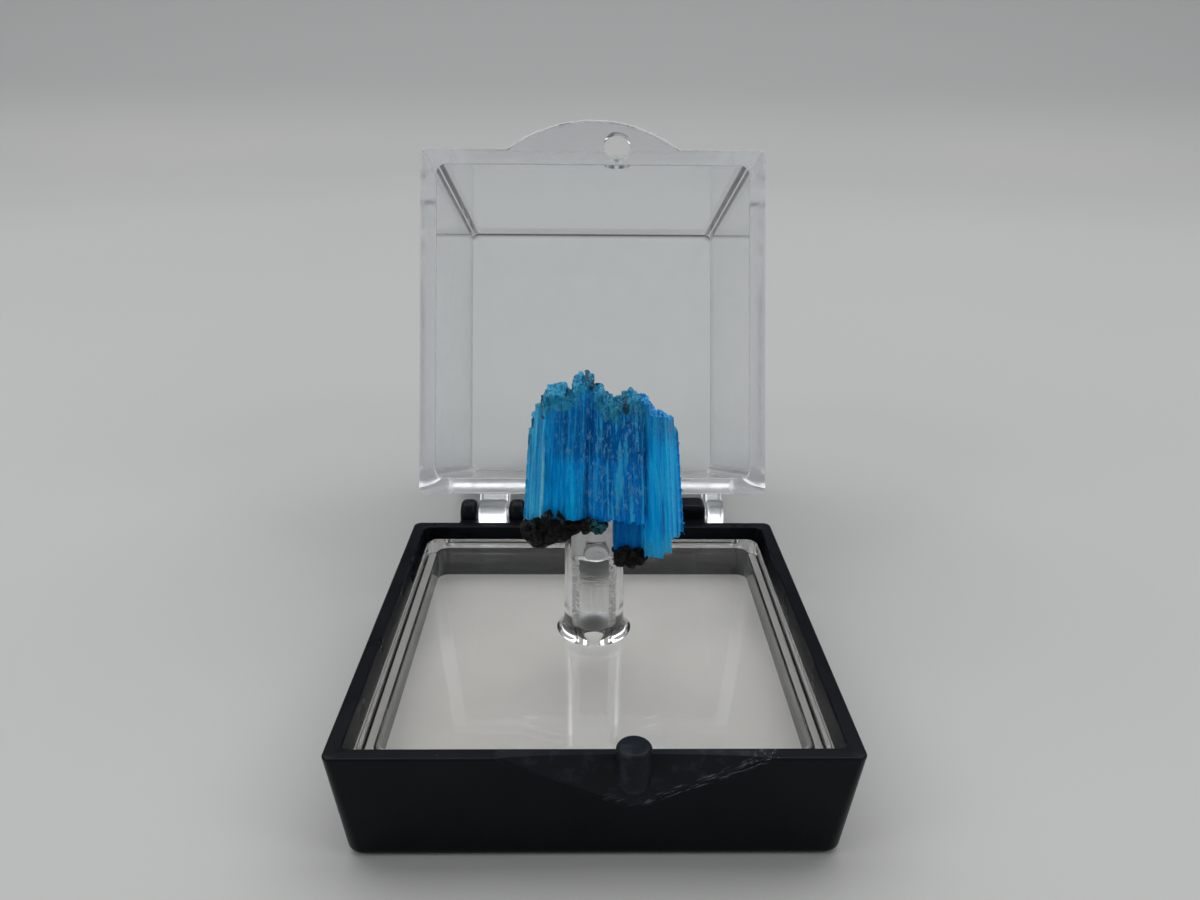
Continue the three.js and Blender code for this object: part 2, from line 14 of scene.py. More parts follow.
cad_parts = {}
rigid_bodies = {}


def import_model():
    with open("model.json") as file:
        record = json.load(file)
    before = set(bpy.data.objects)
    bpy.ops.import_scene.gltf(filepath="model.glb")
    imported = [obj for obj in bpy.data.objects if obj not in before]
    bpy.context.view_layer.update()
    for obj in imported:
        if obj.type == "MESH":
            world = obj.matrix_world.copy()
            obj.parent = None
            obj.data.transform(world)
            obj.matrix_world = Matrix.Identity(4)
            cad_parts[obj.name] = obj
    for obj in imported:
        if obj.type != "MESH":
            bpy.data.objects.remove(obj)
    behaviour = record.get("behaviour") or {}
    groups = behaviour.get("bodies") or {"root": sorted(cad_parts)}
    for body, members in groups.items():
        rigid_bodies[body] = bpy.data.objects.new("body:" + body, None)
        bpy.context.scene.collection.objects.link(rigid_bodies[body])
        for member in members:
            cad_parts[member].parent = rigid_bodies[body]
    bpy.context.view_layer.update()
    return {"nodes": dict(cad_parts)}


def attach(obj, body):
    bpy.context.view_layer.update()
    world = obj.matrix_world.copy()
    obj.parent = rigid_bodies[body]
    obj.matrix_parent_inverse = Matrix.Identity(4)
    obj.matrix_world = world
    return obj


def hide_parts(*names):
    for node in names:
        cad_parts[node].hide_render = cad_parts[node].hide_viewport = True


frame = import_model()
MM = 0.001

# The camera, as the photograph was taken
EYE = (-0.552, -59.238, 43.530)
PITCH = 0.3648
YAW = 0.0154
ROLL = 0.008
SENSOR = 36.0
LENS = 27.73

# Sizes and places that the looks share with the part's solids
BOX_HALF = 15.875
RIM_HEIGHT = 7.9
CLOSED_HEIGHT = 35.0
CORNER_RADIUS = 0.6
TRAY_WALL = 1.0
TRAY_FLOOR = 1.5
INNER_DRAFT = 0.1
INNER_CORNER = 0.5
FOOT_HALF = 15.225
FOOT_CORNER = 1.0
FOOT_ROUNDING = 0.65
LID_WALL = 1.5
LID_TOP = 1.4
LID_DRAFT = 0.27
LID_INNER_CORNER = 0.8
LID_ROUNDING = 0.5
MOUTH = 8.0
OPEN_ANGLE = 111.4
HINGE_Y = 17.675
KNUCKLE_RADIUS = 1.34
PIVOT_RADIUS = 0.6
HOLE_RADIUS = 0.68
TRAY_EARS = ((-11.95, -10.45), (-7.6, -6.1))
RIGHT_LUG = (7.45, 10.2)
TRAY_BORES = ((-13, -5), (6.5, 11))
LID_ARMS = ((-10.3, -7.75), (5.8, 7.3), (10.35, 11.85))
LID_PIVOTS = ((-11.5, -6.55), (6.8, 8.5), (9.15, 10.85))
GUSSET_DROP = 3.6
ARM_LIFT = 0.3
JOIN_DEPTH = 0.6
LUG_HALF = 1.15
LUG_RISE = 1.3
LUG_CORNER = 0.45
PIN_X = 2.2
PIN_Y = -16.2
PIN_RADIUS = 1.05
PIN_TOP = 9.15
PIN_FOOT = 5.95
PIN_HOLE_RADIUS = 1.25
TAB_REACH = 2.7
TAB_HALF_WIDTH = 7.95
TAB_THICKNESS = 1.1
RECESS_BOTTOM = 4.15
RECESS_HALF_WIDTH = 8.1
RECESS_DEPTH = 0.45
RECESS_POINT = 0.004
CARD_HALF = 14.5
CARD_FOOT = 1.55
CARD_TOP = 3.15
STAND_HALF = 14.6
STAND_FOOT = 3.2
STAND_TOP = 7.0
STAND_PLATE = 1.1
STAND_WALL = 1.0
STAND_CORNER = 0.9
POST_FOOT_RADIUS = 2.7
POST_RADIUS = 2.17
POST_TOP_RADIUS = 2.02
POST_TOP = 17.55
POST_FLAT_Y = -1.4
LEDGE_HEIGHT = 13.45
DROP_X = 0.15
DROP_Z = 13.85
DROP_HALF_WIDTH = 0.90
DROP_HALF_HEIGHT = 0.86
CORE_RADIUS = 0.97
CORE_TOP = 8.65
CORE_RISE = 1.15
SPREAD_HEIGHT = 22.25
SPREAD_PER_MM = 0.0165

# Marks that the crystal's colours and relief share: where each lies across it, and between which heights
LEFT_SEAM = -0.57
LEFT_SEAM_SPAN = (17.8, 20.8)
RIGHT_SEAM = 3.16
RIGHT_SEAM_SPAN = (18.0, 24.6)
RIDGE = -3.3
RIDGE_SPAN = (17.8, 24.0)

# Finenesses
CORNER_STEPS = 12
ROUND_STEPS = 96
SOFT_STEPS = 4
CRYSTAL_VOXEL = 0.075
MATRIX_VOXEL = 0.05
MATRIX_FACETS = 0.14
GLUE_VOXEL = 0.06
GLUE_SWELL = 0.11
DROP_BULGE = 0.15
EAR_SOFTNESS = 0.5
ARM_SOFTNESS = 0.3
CLEAR_BOUNCES = 20


def clear_factory_scene():
    for item in list(bpy.data.objects):
        if item.name in ("Cube", "Light", "Camera"):
            bpy.data.objects.remove(item)


def make_camera():
    forward = Vector((
        math.sin(YAW) * math.cos(PITCH),
        math.cos(YAW) * math.cos(PITCH),
        -math.sin(PITCH),
    ))
    level = Vector((math.cos(YAW), -math.sin(YAW), 0.0))
    up = level.cross(forward)
    right = math.cos(ROLL) * level + math.sin(ROLL) * up
    top = -math.sin(ROLL) * level + math.cos(ROLL) * up
    turn = Matrix((right, top, -forward)).transposed()
    data = bpy.data.cameras.new("camera")
    data.sensor_fit = "HORIZONTAL"
    data.sensor_width = SENSOR
    data.lens = LENS
    data.clip_start = 1 * MM
    data.clip_end = 20.0
    camera = bpy.data.objects.new("camera", data)
    camera.matrix_world = Matrix.Translation(Vector(EYE) * MM) @ turn.to_4x4()
    bpy.context.collection.objects.link(camera)
    bpy.context.scene.camera = camera


# Materials

def new_material(name):
    """An empty node material with its Principled shader, and the tree."""
    material = bpy.data.materials.new(name)
    material.use_nodes = True
    tree = material.node_tree
    shader = tree.nodes["Principled BSDF"]
    return material, tree, shader


def node(tree, kind, inputs=None, **settings):
    """A node with its settings and unlinked or linked inputs."""
    made = tree.nodes.new(kind)
    for key, value in settings.items():
        setattr(made, key, value)
    for key, value in (inputs or {}).items():
        if isinstance(value, bpy.types.NodeSocket):
            tree.links.new(value, made.inputs[key])
        else:
            made.inputs[key].default_value = value
    return made


def place(tree, scale=(1, 1, 1)):
    """Object coordinates in millimetres, then scaled."""
    source = node(tree, "ShaderNodeTexCoord").outputs["Object"]
    full = tuple(value / MM for value in scale)
    return node(tree, "ShaderNodeMapping", {"Vector": source, "Scale": full}).outputs[0]


def axis(tree, letter):
    """One object coordinate, in millimetres."""
    parts = node(tree, "ShaderNodeSeparateXYZ", {0: place(tree)})
    return parts.outputs[letter]


def grain(tree, vector, scale=1.0, detail=2.0, roughness=0.5):
    inputs = {"Vector": vector, "Scale": scale, "Detail": detail, "Roughness": roughness}
    return node(tree, "ShaderNodeTexNoise", inputs, noise_type="FBM").outputs[0]


def steps(tree, value, stops):
    """A colour ramp over a value; stops are (position, grey or colour)."""
    ramp = node(tree, "ShaderNodeValToRGB", {"Fac": value})
    ramp.color_ramp.interpolation = "LINEAR"
    elements = ramp.color_ramp.elements
    while len(elements) < len(stops):
        elements.new(0.5)
    for element, (position, colour) in zip(elements, stops):
        element.position = position
        full = (colour,) * 3 if isinstance(colour, (int, float)) else colour
        element.color = (*full, 1.0)
    return ramp.outputs[0]


def remap(tree, value, low, high, to_low=0.0, to_high=1.0, smooth=True):
    made = node(tree, "ShaderNodeMapRange", {"Value": value})
    made.interpolation_type = "SMOOTHSTEP" if smooth else "LINEAR"
    made.inputs["From Min"].default_value = low
    made.inputs["From Max"].default_value = high
    made.inputs["To Min"].default_value = to_low
    made.inputs["To Max"].default_value = to_high
    return made.outputs[0]


def maths(tree, operation, a, b=0.0):
    return node(tree, "ShaderNodeMath", {0: a, 1: b}, operation=operation).outputs[0]


def distance(tree, a, b):
    """How far a pair of coordinates lies from the middle."""
    squares = [maths(tree, "MULTIPLY", part, part) for part in (a, b)]
    return maths(tree, "SQRT", maths(tree, "ADD", *squares))


def blend(tree, share, a, b, kind="MIX"):
    made = node(tree, "ShaderNodeMix", data_type="RGBA", blend_type=kind)
    for socket, value in ((0, share), (6, a), (7, b)):
        if isinstance(value, bpy.types.NodeSocket):
            tree.links.new(value, made.inputs[socket])
        elif isinstance(value, (int, float)):
            made.inputs[socket].default_value = value
        else:
            made.inputs[socket].default_value = (*value, 1.0)
    return made.outputs[2]


def bump(tree, shader, height, distance, strength=1.0):
    made = node(tree, "ShaderNodeBump", {"Height": height, "Distance": distance * MM, "Strength": strength})
    tree.links.new(made.outputs[0], shader.inputs["Normal"])


def window(tree, value, low, high, soft):
    """1 between low and high, fading to 0 over soft beyond them."""
    rise = remap(tree, value, low - soft, low)
    fall = remap(tree, value, high, high + soft, 1.0, 0.0)
    return maths(tree, "MULTIPLY", rise, fall)


def black_plastic():
    """Black plastic, duller and scratched in the thumb recess, with a few pale specks."""
    material, tree, shader = new_material("black_plastic")
    cloudy = grain(tree, place(tree), 0.35, 3.0)
    colour = steps(tree, cloudy, [(0.3, (0.0026, 0.0032, 0.0052)), (0.75, (0.0042, 0.0050, 0.0076))])
    x = axis(tree, "X")
    z = axis(tree, "Z")
    from_pin = maths(tree, "ABSOLUTE", maths(tree, "SUBTRACT", x, PIN_X))
    edge = remap(tree, z, RECESS_BOTTOM, RIM_HEIGHT, 0.0, RECESS_HALF_WIDTH, smooth=False)
    inside = maths(tree, "SUBTRACT", edge, from_pin)
    front = remap(tree, axis(tree, "Y"), -15.0, -14.8, 1.0, 0.0)
    recess = maths(tree, "MULTIPLY", remap(tree, inside, -0.1, 0.5), front)
    border = maths(tree, "MULTIPLY", window(tree, inside, -0.2, 0.7, 0.5), front)
    border = maths(tree, "MULTIPLY", border, remap(tree, x, PIN_X - 3.0, PIN_X + 1.0))
    border = maths(tree, "MULTIPLY", border, remap(tree, z, RECESS_BOTTOM - 0.1, RECESS_BOTTOM + 0.4))
    # Scratches lie along the recess's lower edge
    lean = node(tree, "ShaderNodeVectorRotate", {"Vector": place(tree), "Angle": math.radians(24)},
                rotation_type="Y_AXIS").outputs[0]
    stretch = node(tree, "ShaderNodeMapping", {"Vector": lean, "Scale": (0.6, 1.0, 5.0)}).outputs[0]
    scratches = steps(tree, grain(tree, stretch, 1.6, 4.0, 0.7), [(0.54, 0.0), (0.62, 1.0)])
    smudge = steps(tree, grain(tree, place(tree), 0.9, 4.0, 0.6), [(0.5, 0.0), (0.68, 1.0)])
    worn = maths(tree, "MULTIPLY", recess, remap(tree, smudge, 0.0, 1.0, 0.35, 1.0))
    colour = blend(tree, maths(tree, "MULTIPLY", worn, 0.8), colour, (0.022, 0.027, 0.034))
    marks = maths(tree, "MULTIPLY", border, scratches)
    colour = blend(tree, marks, colour, (0.10, 0.12, 0.13))
    specks = steps(tree, grain(tree, place(tree), 1.9, 2.0, 0.4), [(0.79, 0.0), (0.81, 1.0)])
    colour = blend(tree, maths(tree, "MULTIPLY", specks, 0.6), colour, (0.08, 0.085, 0.09))
    tree.links.new(colour, shader.inputs["Base Color"])
    dull = remap(tree, cloudy, 0.3, 0.7, 0.27, 0.32)
    tree.links.new(maths(tree, "ADD", dull, maths(tree, "MULTIPLY", worn, 0.16)), shader.inputs["Roughness"])
    shader.inputs["IOR"].default_value = 1.5
    shader.inputs["Specular IOR Level"].default_value = 0.1
    fine = grain(tree, place(tree), 9.0, 2.0)
    rough = maths(tree, "ADD", fine, maths(tree, "MULTIPLY", scratches, recess))
    bump(tree, shader, rough, 0.006, 0.35)
    return material


def clear_plastic():
    """Clear plastic, a little cloudy; duller at its mouth's edge and its hinge arms, where painted shade also
    darkens it to dim their bright glints.
    """
    material, tree, shader = new_material("clear_plastic")
    haze = grain(tree, place(tree), 0.5, 3.0)
    colour = steps(tree, haze, [(0.35, (0.905, 0.925, 0.94)), (0.7, (0.93, 0.946, 0.957))])
    # Back to the closed lid's place, where the mouth is level
    axle = (0.0, HINGE_Y * MM, RIM_HEIGHT * MM)
    source = node(tree, "ShaderNodeTexCoord").outputs["Object"]
    back = {"Vector": source, "Center": axle, "Angle": math.radians(OPEN_ANGLE)}
    closed = node(tree, "ShaderNodeVectorRotate", back, rotation_type="X_AXIS")
    parts = node(tree, "ShaderNodeSeparateXYZ", {0: closed.outputs[0]})
    lip = remap(tree, parts.outputs["Z"], (MOUTH + 0.3) * MM, (MOUTH + 0.1) * MM)
    arms = remap(tree, parts.outputs["Y"], (BOX_HALF + 0.05) * MM, (BOX_HALF + 0.3) * MM)
    # Painted shade: the mouth's edge and the hinge arms are coloured darker to dim their bright glints
    colour = blend(tree, maths(tree, "MULTIPLY", lip, 0.8), colour, (0.80, 0.81, 0.86))
    colour = blend(tree, arms, colour, (0.66, 0.68, 0.72))
    tree.links.new(colour, shader.inputs["Base Color"])
    shader.inputs["IOR"].default_value = 1.49
    shader.inputs["Transmission Weight"].default_value = 1.0
    dull = remap(tree, haze, 0.4, 0.75, 0.03, 0.08)
    dull = maths(tree, "ADD", dull, maths(tree, "MULTIPLY", maths(tree, "MAXIMUM", lip, arms), 0.1))
    tree.links.new(dull, shader.inputs["Roughness"])
    return material


def stand_plastic():
    """Clear plastic, frosted where the post's front was cut flat, rippled on the post below."""
    material, tree, shader = new_material("stand_plastic")
    haze = grain(tree, place(tree), 0.6, 3.0)
    colour = steps(tree, haze, [(0.35, (0.98, 0.983, 0.985)), (0.7, (0.99, 0.992, 0.995))])
    shader.inputs["IOR"].default_value = 1.49
    shader.inputs["Transmission Weight"].default_value = 1.0
    x = axis(tree, "X")
    y = axis(tree, "Y")
    z = axis(tree, "Z")
    above = remap(tree, z, LEDGE_HEIGHT + 0.05, LEDGE_HEIGHT + 0.2)
    flat = window(tree, y, POST_FLAT_Y - 0.1, POST_FLAT_Y + 0.04, 0.04)
    sawn = maths(tree, "MULTIPLY", above, flat)
    front = remap(tree, y, -0.9, -0.6, 1.0, 0.0)
    below = window(tree, z, STAND_TOP + 2.0, LEDGE_HEIGHT - 0.1, 1.2)
    sides = window(tree, maths(tree, "ABSOLUTE", x), 1.15, 1.45, 0.15)
    mottle = steps(tree, grain(tree, place(tree, (1.0, 1.0, 1.6)), 3.0, 4.0, 0.7), [(0.45, 0.0), (0.6, 1.0)])
    shaft = maths(tree, "MULTIPLY", front, below)
    rubbed = maths(tree, "MULTIPLY", shaft, maths(tree, "MULTIPLY", sides, mottle))
    dull = maths(tree, "ADD", maths(tree, "MULTIPLY", sawn, 0.5), maths(tree, "MULTIPLY", rubbed, 0.35))
    # The hollow under the post ends in a rough, greyish dome, coloured dark grey as painted shade
    out = distance(tree, x, y)
    dome = maths(tree, "MULTIPLY", remap(tree, out, 1.15, 1.05), window(tree, z, 7.55, CORE_TOP + 0.1, 0.15))
    dull = maths(tree, "ADD", dull, maths(tree, "MULTIPLY", dome, 0.6))
    colour = blend(tree, maths(tree, "MULTIPLY", rubbed, 0.6), colour, (0.62, 0.64, 0.67))
    upright_grey = steps(tree, grain(tree, place(tree, (4.0, 1.0, 0.3)), 1.0, 3.0), [(0.35, 0.3), (0.6, 1.0)])
    upright_grey = maths(tree, "MULTIPLY", upright_grey, shaft)
    colour = blend(tree, maths(tree, "MULTIPLY", upright_grey, 0.6), colour, (0.66, 0.675, 0.69))
    # Painted shade: the dome is coloured dark grey
    colour = blend(tree, dome, colour, (0.16, 0.165, 0.175))
    tree.links.new(colour, shader.inputs["Base Color"])
    brushed = maths(tree, "MULTIPLY", shaft, 0.22)
    clean = maths(tree, "ADD", remap(tree, haze, 0.4, 0.75, 0.0, 0.03), brushed)
    tree.links.new(maths(tree, "ADD", clean, dull), shader.inputs["Roughness"])
    saw = grain(tree, place(tree, (1.0, 1.0, 1.8)), 2.6, 5.0, 0.75)
    ripples = grain(tree, place(tree, (0.6, 0.6, 5.0)), 1.5, 3.0)
    height = maths(tree, "MULTIPLY", saw, maths(tree, "ADD", sawn, rubbed))
    waves = maths(tree, "MULTIPLY", maths(tree, "MULTIPLY", ripples, below), front)
    bump(tree, shader, maths(tree, "ADD", height, maths(tree, "MULTIPLY", waves, 0.08)), 0.2, 0.8)
    return material


def clear_glue():
    """Clear glue; the drop on the ledge has a whitish, rougher ring of painted highlight inside a dark edge
    of painted shade.
    """
    material, tree, shader = new_material("clear_glue")
    x = maths(tree, "DIVIDE", maths(tree, "SUBTRACT", axis(tree, "X"), DROP_X), DROP_HALF_WIDTH)
    z = maths(tree, "DIVIDE", maths(tree, "SUBTRACT", axis(tree, "Z"), DROP_Z), DROP_HALF_HEIGHT)
    out = distance(tree, x, z)
    low = remap(tree, axis(tree, "Z"), DROP_Z + 1.0, DROP_Z + 0.9)
    front = remap(tree, axis(tree, "Y"), -1.5, -1.55)
    highlight_and_haze_band = maths(tree, "MULTIPLY", front, window(tree, out, 0.66, 0.84, 0.06))
    edge = maths(tree, "MULTIPLY", maths(tree, "MULTIPLY", front, low), remap(tree, out, 0.9, 0.96))
    haze = grain(tree, place(tree), 1.2, 2.0)
    colour = steps(tree, haze, [(0.35, (0.93, 0.94, 0.945)), (0.7, (0.96, 0.965, 0.97))])
    # Painted highlight: a white ring inside the drop's rim
    colour = blend(tree, highlight_and_haze_band, colour, (1.0, 1.0, 1.0))
    # Painted shade: a dark edge round the drop
    colour = blend(tree, maths(tree, "MULTIPLY", edge, 0.9), colour, (0.12, 0.125, 0.14))
    tree.links.new(colour, shader.inputs["Base Color"])
    shader.inputs["IOR"].default_value = 1.6
    shader.inputs["Transmission Weight"].default_value = 1.0
    tree.links.new(remap(tree, highlight_and_haze_band, 0.0, 1.0, 0.03, 0.4), shader.inputs["Roughness"])
    bump(tree, shader, grain(tree, place(tree), 1.2, 2.0), 0.05, 0.4)
    return material


def white_card():
    material, tree, shader = new_material("white_card")
    mottle = grain(tree, place(tree), 0.25, 4.0)
    colour = steps(tree, mottle, [(0.3, (0.87, 0.85, 0.805)), (0.7, (0.92, 0.90, 0.86))])
    specks = grain(tree, place(tree), 1.1, 5.0, 0.7)
    dirt = steps(tree, specks, [(0.74, 0.0), (0.77, 1.0)])
    tree.links.new(blend(tree, dirt, colour, (0.16, 0.13, 0.1)), shader.inputs["Base Color"])
    shader.inputs["Roughness"].default_value = 0.85
    fibres = grain(tree, place(tree, (1.0, 2.0, 1.0)), 6.0, 3.0)
    bump(tree, shader, fibres, 0.02, 0.4)
    return material


def upright_place(tree, x, y, z, scale, shift=0.0):
    """Noise space that follows the columns: finer across them than along them."""
    parts = [maths(tree, "MULTIPLY", part, factor) for part, factor in zip((x, y, z), scale)]
    joined = node(tree, "ShaderNodeCombineXYZ", dict(enumerate(parts))).outputs[0]
    return node(tree, "ShaderNodeMapping", {"Vector": joined, "Location": (shift, shift, shift)}).outputs[0]


def spot(tree, x, z, where, size):
    """1 within a small spot, seen from the front; size is half-width and half-height."""
    across = maths(tree, "DIVIDE", maths(tree, "SUBTRACT", x, where[0]), size[0])
    along = maths(tree, "DIVIDE", maths(tree, "SUBTRACT", z, where[1]), size[1])
    far = maths(tree, "ADD", maths(tree, "MULTIPLY", across, across), maths(tree, "MULTIPLY", along, along))
    return remap(tree, far, 0.5, 1.3, 1.0, 0.0)


def blue_crystal():
    """Blue columns: zones across the crystal, partly painted light and shade, pale streaks along it, bruised
    teal tops with dark specks.
    """
    material, tree, shader = new_material("blue_crystal")
    y = axis(tree, "Y")
    z = axis(tree, "Z")
    drop = maths(tree, "SUBTRACT", SPREAD_HEIGHT, z)
    spread = maths(tree, "ADD", maths(tree, "MULTIPLY", drop, SPREAD_PER_MM), 1.0)
    u = maths(tree, "DIVIDE", axis(tree, "X"), spread)

    broad = grain(tree, upright_place(tree, u, y, z, (1.5, 1.5, 0.1)), 1.0, 2.0)
    middle = grain(tree, upright_place(tree, u, y, z, (3.2, 3.2, 0.16), 3.0), 1.0, 3.0, 0.6)
    thin = grain(tree, upright_place(tree, u, y, z, (6.5, 6.5, 0.32), 7.0), 1.0, 2.0, 0.55)
    dashes = grain(tree, upright_place(tree, u, y, z, (5.5, 5.5, 1.1), 11.0), 1.0, 3.0, 0.65)
    scales = grain(tree, upright_place(tree, u, y, z, (4.4, 4.4, 1.7), 17.0), 1.0, 4.0, 0.7)
    chips = grain(tree, place(tree), 2.0, 4.0, 0.6)

    ink = (0.0, 0.12, 0.47)
    royal = (0.0, 0.28, 0.92)
    azure = (0.0, 0.37, 1.0)
    cyan = (0.0, 0.42, 1.0)
    pale = (0.008, 0.42, 0.86)
    # Zones of blue across the crystal: partly its own tone, partly painted light and shade on faces turned
    # towards or away from the light
    wander = maths(tree, "ADD", u, remap(tree, middle, 0.3, 0.7, -0.45, 0.45, smooth=False))
    zones = steps(tree, remap(tree, wander, -5.0, 6.0, smooth=False), [
        (0.03, pale), (0.14, pale), (0.20, azure), (0.30, azure), (0.38, azure), (0.43, royal),
        (0.60, royal), (0.70, royal), (0.75, azure), (0.80, azure), (0.86, cyan), (0.93, cyan), (1.0, azure),
    ])
    # The left columns are brighter below, the middle ones darker above
    low_left = maths(tree, "MULTIPLY", window(tree, u, -3.1, -0.8, 0.3), remap(tree, z, 22.0, 18.5))
    colour = blend(tree, maths(tree, "MULTIPLY", low_left, 0.7), zones, cyan)
    high = maths(tree, "MULTIPLY", window(tree, u, -2.3, 3.2, 0.8), window(tree, z, 22.5, 25.0, 1.2))
    colour = blend(tree, maths(tree, "MULTIPLY", high, 0.8), colour, ink)
    shoulder = maths(tree, "MULTIPLY", remap(tree, u, 2.9, 3.4), remap(tree, z, 22.0, 24.0))
    colour = blend(tree, maths(tree, "MULTIPLY", shoulder, 0.8), colour, (0.0, 0.20, 0.66))
    mixed = maths(tree, "ADD", maths(tree, "MULTIPLY", broad, 0.45), maths(tree, "MULTIPLY", middle, 0.55))
    shade = steps(tree, mixed, [(0.38, (0.5, 0.5, 0.58)), (0.5, (1.0, 1.0, 1.0)), (0.62, (1.0, 1.35, 1.12))])
    colour = blend(tree, 1.0, colour, shade, "MULTIPLY")

    # Painted shade: dark lines in the grooves between columns, and a darker sunken leg
    left_seam_shade = window(tree, u, LEFT_SEAM - 0.09, LEFT_SEAM + 0.09, 0.1)
    left_seam_shade = maths(tree, "MULTIPLY", left_seam_shade, window(tree, z, *LEFT_SEAM_SPAN, 0.7))
    right_seam_shade = window(tree, u, RIGHT_SEAM - 0.06, RIGHT_SEAM + 0.06, 0.07)
    right_seam_shade = maths(tree, "MULTIPLY", right_seam_shade, window(tree, z, *RIGHT_SEAM_SPAN, 0.8))
    seam_shade = maths(tree, "MAXIMUM", left_seam_shade, right_seam_shade)
    # Painted shade in the grooves between columns
    colour = blend(tree, maths(tree, "MULTIPLY", seam_shade, 0.65), colour, (0.0, 0.03, 0.14))

    # Pale streaks: many in the left and middle zones, few and long in the others
    much = steps(tree, remap(tree, u, -5.0, 6.0, smooth=False), [
        (0.0, 0.85), (0.15, 1.0), (0.19, 0.25), (0.32, 0.45), (0.44, 0.5), (0.50, 0.9), (0.66, 0.9),
        (0.72, 0.75), (0.78, 0.35), (0.84, 0.55), (0.9, 0.3), (1.0, 0.2),
    ])
    streaks = steps(tree, maths(tree, "MULTIPLY", thin, middle), [(0.265, 0.0), (0.32, 1.0)])
    streaks = maths(tree, "MULTIPLY", maths(tree, "MULTIPLY", streaks, much), 0.75)
    colour = blend(tree, streaks, colour, (0.05, 0.62, 1.0))
    thin_dark = steps(tree, thin, [(0.38, 1.0), (0.46, 0.0)])
    thin_dark = maths(tree, "MULTIPLY", thin_dark, remap(tree, u, 2.6, 3.6, 0.4, 0.1))
    colour = blend(tree, thin_dark, colour, (0.0, 0.10, 0.38))
    # Painted highlight: a pale line along the edge between the left faces
    ridge_highlight = window(tree, u, RIDGE - 0.06, RIDGE + 0.06, 0.06)
    ridge_highlight = maths(tree, "MULTIPLY", ridge_highlight, remap(tree, z, RIDGE_SPAN[1], 21.5))
    ridge_highlight = maths(tree, "MULTIPLY", ridge_highlight, remap(tree, dashes, 0.38, 0.55, 0.35, 1.0))
    colour = blend(tree, ridge_highlight, colour, (0.22, 0.72, 0.92))

    # Painted shade: the sunken leg is coloured darker
    leg = maths(tree, "MULTIPLY", window(tree, u, 1.0, 2.75, 0.1), remap(tree, z, 17.5, 17.1))
    colour = blend(tree, maths(tree, "MULTIPLY", leg, 0.8), colour, (0.0, 0.12, 0.50))
    foot = maths(tree, "MULTIPLY", remap(tree, u, 2.7, 2.9), remap(tree, z, 16.6, 15.2))
    colour = blend(tree, maths(tree, "MULTIPLY", foot, 0.5), colour, (0.05, 0.48, 0.74))

    # White scaly bruises over the middle columns, partly the crystal's own pale scales and partly painted
    # sparkle
    bruised = maths(tree, "MULTIPLY", window(tree, u, -0.5, 2.6, 1.0), window(tree, z, 18.6, 25.2, 1.0))
    upper = maths(tree, "MULTIPLY", window(tree, u, -2.6, 2.8, 0.8), window(tree, z, 22.8, 25.6, 0.8))
    bruised = maths(tree, "MAXIMUM", bruised, maths(tree, "MULTIPLY", upper, 0.75))
    clusters = grain(tree, upright_place(tree, u, y, z, (1.6, 1.6, 0.9), 29.0), 1.0, 2.0)
    flakes_and_sparkle = steps(tree, scales, [(0.51, 0.0), (0.57, 1.0)])
    flakes_and_sparkle = maths(tree, "MULTIPLY", flakes_and_sparkle, steps(tree, clusters, [(0.42, 0.15), (0.56, 1.0)]))
    flakes_and_sparkle = maths(tree, "MULTIPLY", flakes_and_sparkle, bruised)
    colour = blend(tree, maths(tree, "MULTIPLY", flakes_and_sparkle, 0.8), colour, (0.15, 0.50, 0.95))
    gaps = maths(tree, "MULTIPLY", steps(tree, scales, [(0.34, 1.0), (0.44, 0.0)]), bruised)
    colour = blend(tree, maths(tree, "MULTIPLY", gaps, 0.6), colour, (0.0, 0.08, 0.30))

    # Teal broken tops: crest is the height of the tops across the crystal
    crest = steps(tree, remap(tree, u, -5.0, 6.0, smooth=False), [
        (0.06, 0.23), (0.09, 0.50), (0.13, 0.58), (0.3, 0.62), (0.37, 0.70), (0.42, 0.71), (0.45, 0.62),
        (0.56, 0.53), (0.65, 0.56), (0.74, 0.58), (0.80, 0.45), (0.86, 0.38), (0.92, 0.33), (0.95, 0.25),
    ])
    crest = maths(tree, "ADD", maths(tree, "MULTIPLY", crest, 10.0), 20.0)
    depth = maths(tree, "SUBTRACT", crest, z)
    depth = maths(tree, "ADD", depth, remap(tree, chips, 0.35, 0.65, -0.55, 0.55, smooth=False))
    crumbs = grain(tree, place(tree), 3.4, 4.0, 0.75)
    top = maths(tree, "MULTIPLY", remap(tree, depth, 1.3, 0.1), remap(tree, u, 2.6, 3.4, 1.0, 0.35))
    grains = steps(tree, crumbs, [
        (0.40, (0.012, 0.12, 0.22)), (0.5, (0.03, 0.30, 0.46)), (0.60, (0.09, 0.46, 0.58)),
    ])
    colour = blend(tree, maths(tree, "MULTIPLY", top, 0.85), colour, grains)
    near_top = remap(tree, depth, 2.6, 0.5)
    dirt = maths(tree, "MULTIPLY", steps(tree, crumbs, [(0.60, 0.0), (0.65, 1.0)]), near_top)
    colour = blend(tree, maths(tree, "MULTIPLY", dirt, 0.85), colour, (0.05, 0.045, 0.025))
    for where, size in (
        ((-3.62, 25.75), (0.10, 0.55)), ((2.78, 22.35), (0.09, 0.08)), ((3.0, 26.1), (0.28, 0.24)),
        ((2.0, 25.3), (0.26, 0.38)), ((-0.04, 26.6), (0.42, 0.30)), ((-0.52, 27.2), (0.40, 0.26)),
        ((-3.45, 24.7), (0.14, 0.12)), ((2.15, 24.4), (0.16, 0.10)), ((-1.9, 26.1), (0.16, 0.14)),
    ):
        mark = maths(tree, "MULTIPLY", spot(tree, u, z, where, size), remap(tree, crumbs, 0.32, 0.44))
        mark = maths(tree, "MULTIPLY", mark, remap(tree, y, -1.2, -1.8))
        colour = blend(tree, maths(tree, "MULTIPLY", mark, 0.9), colour, (0.022, 0.018, 0.012))
    tree.links.new(colour, shader.inputs["Base Color"])

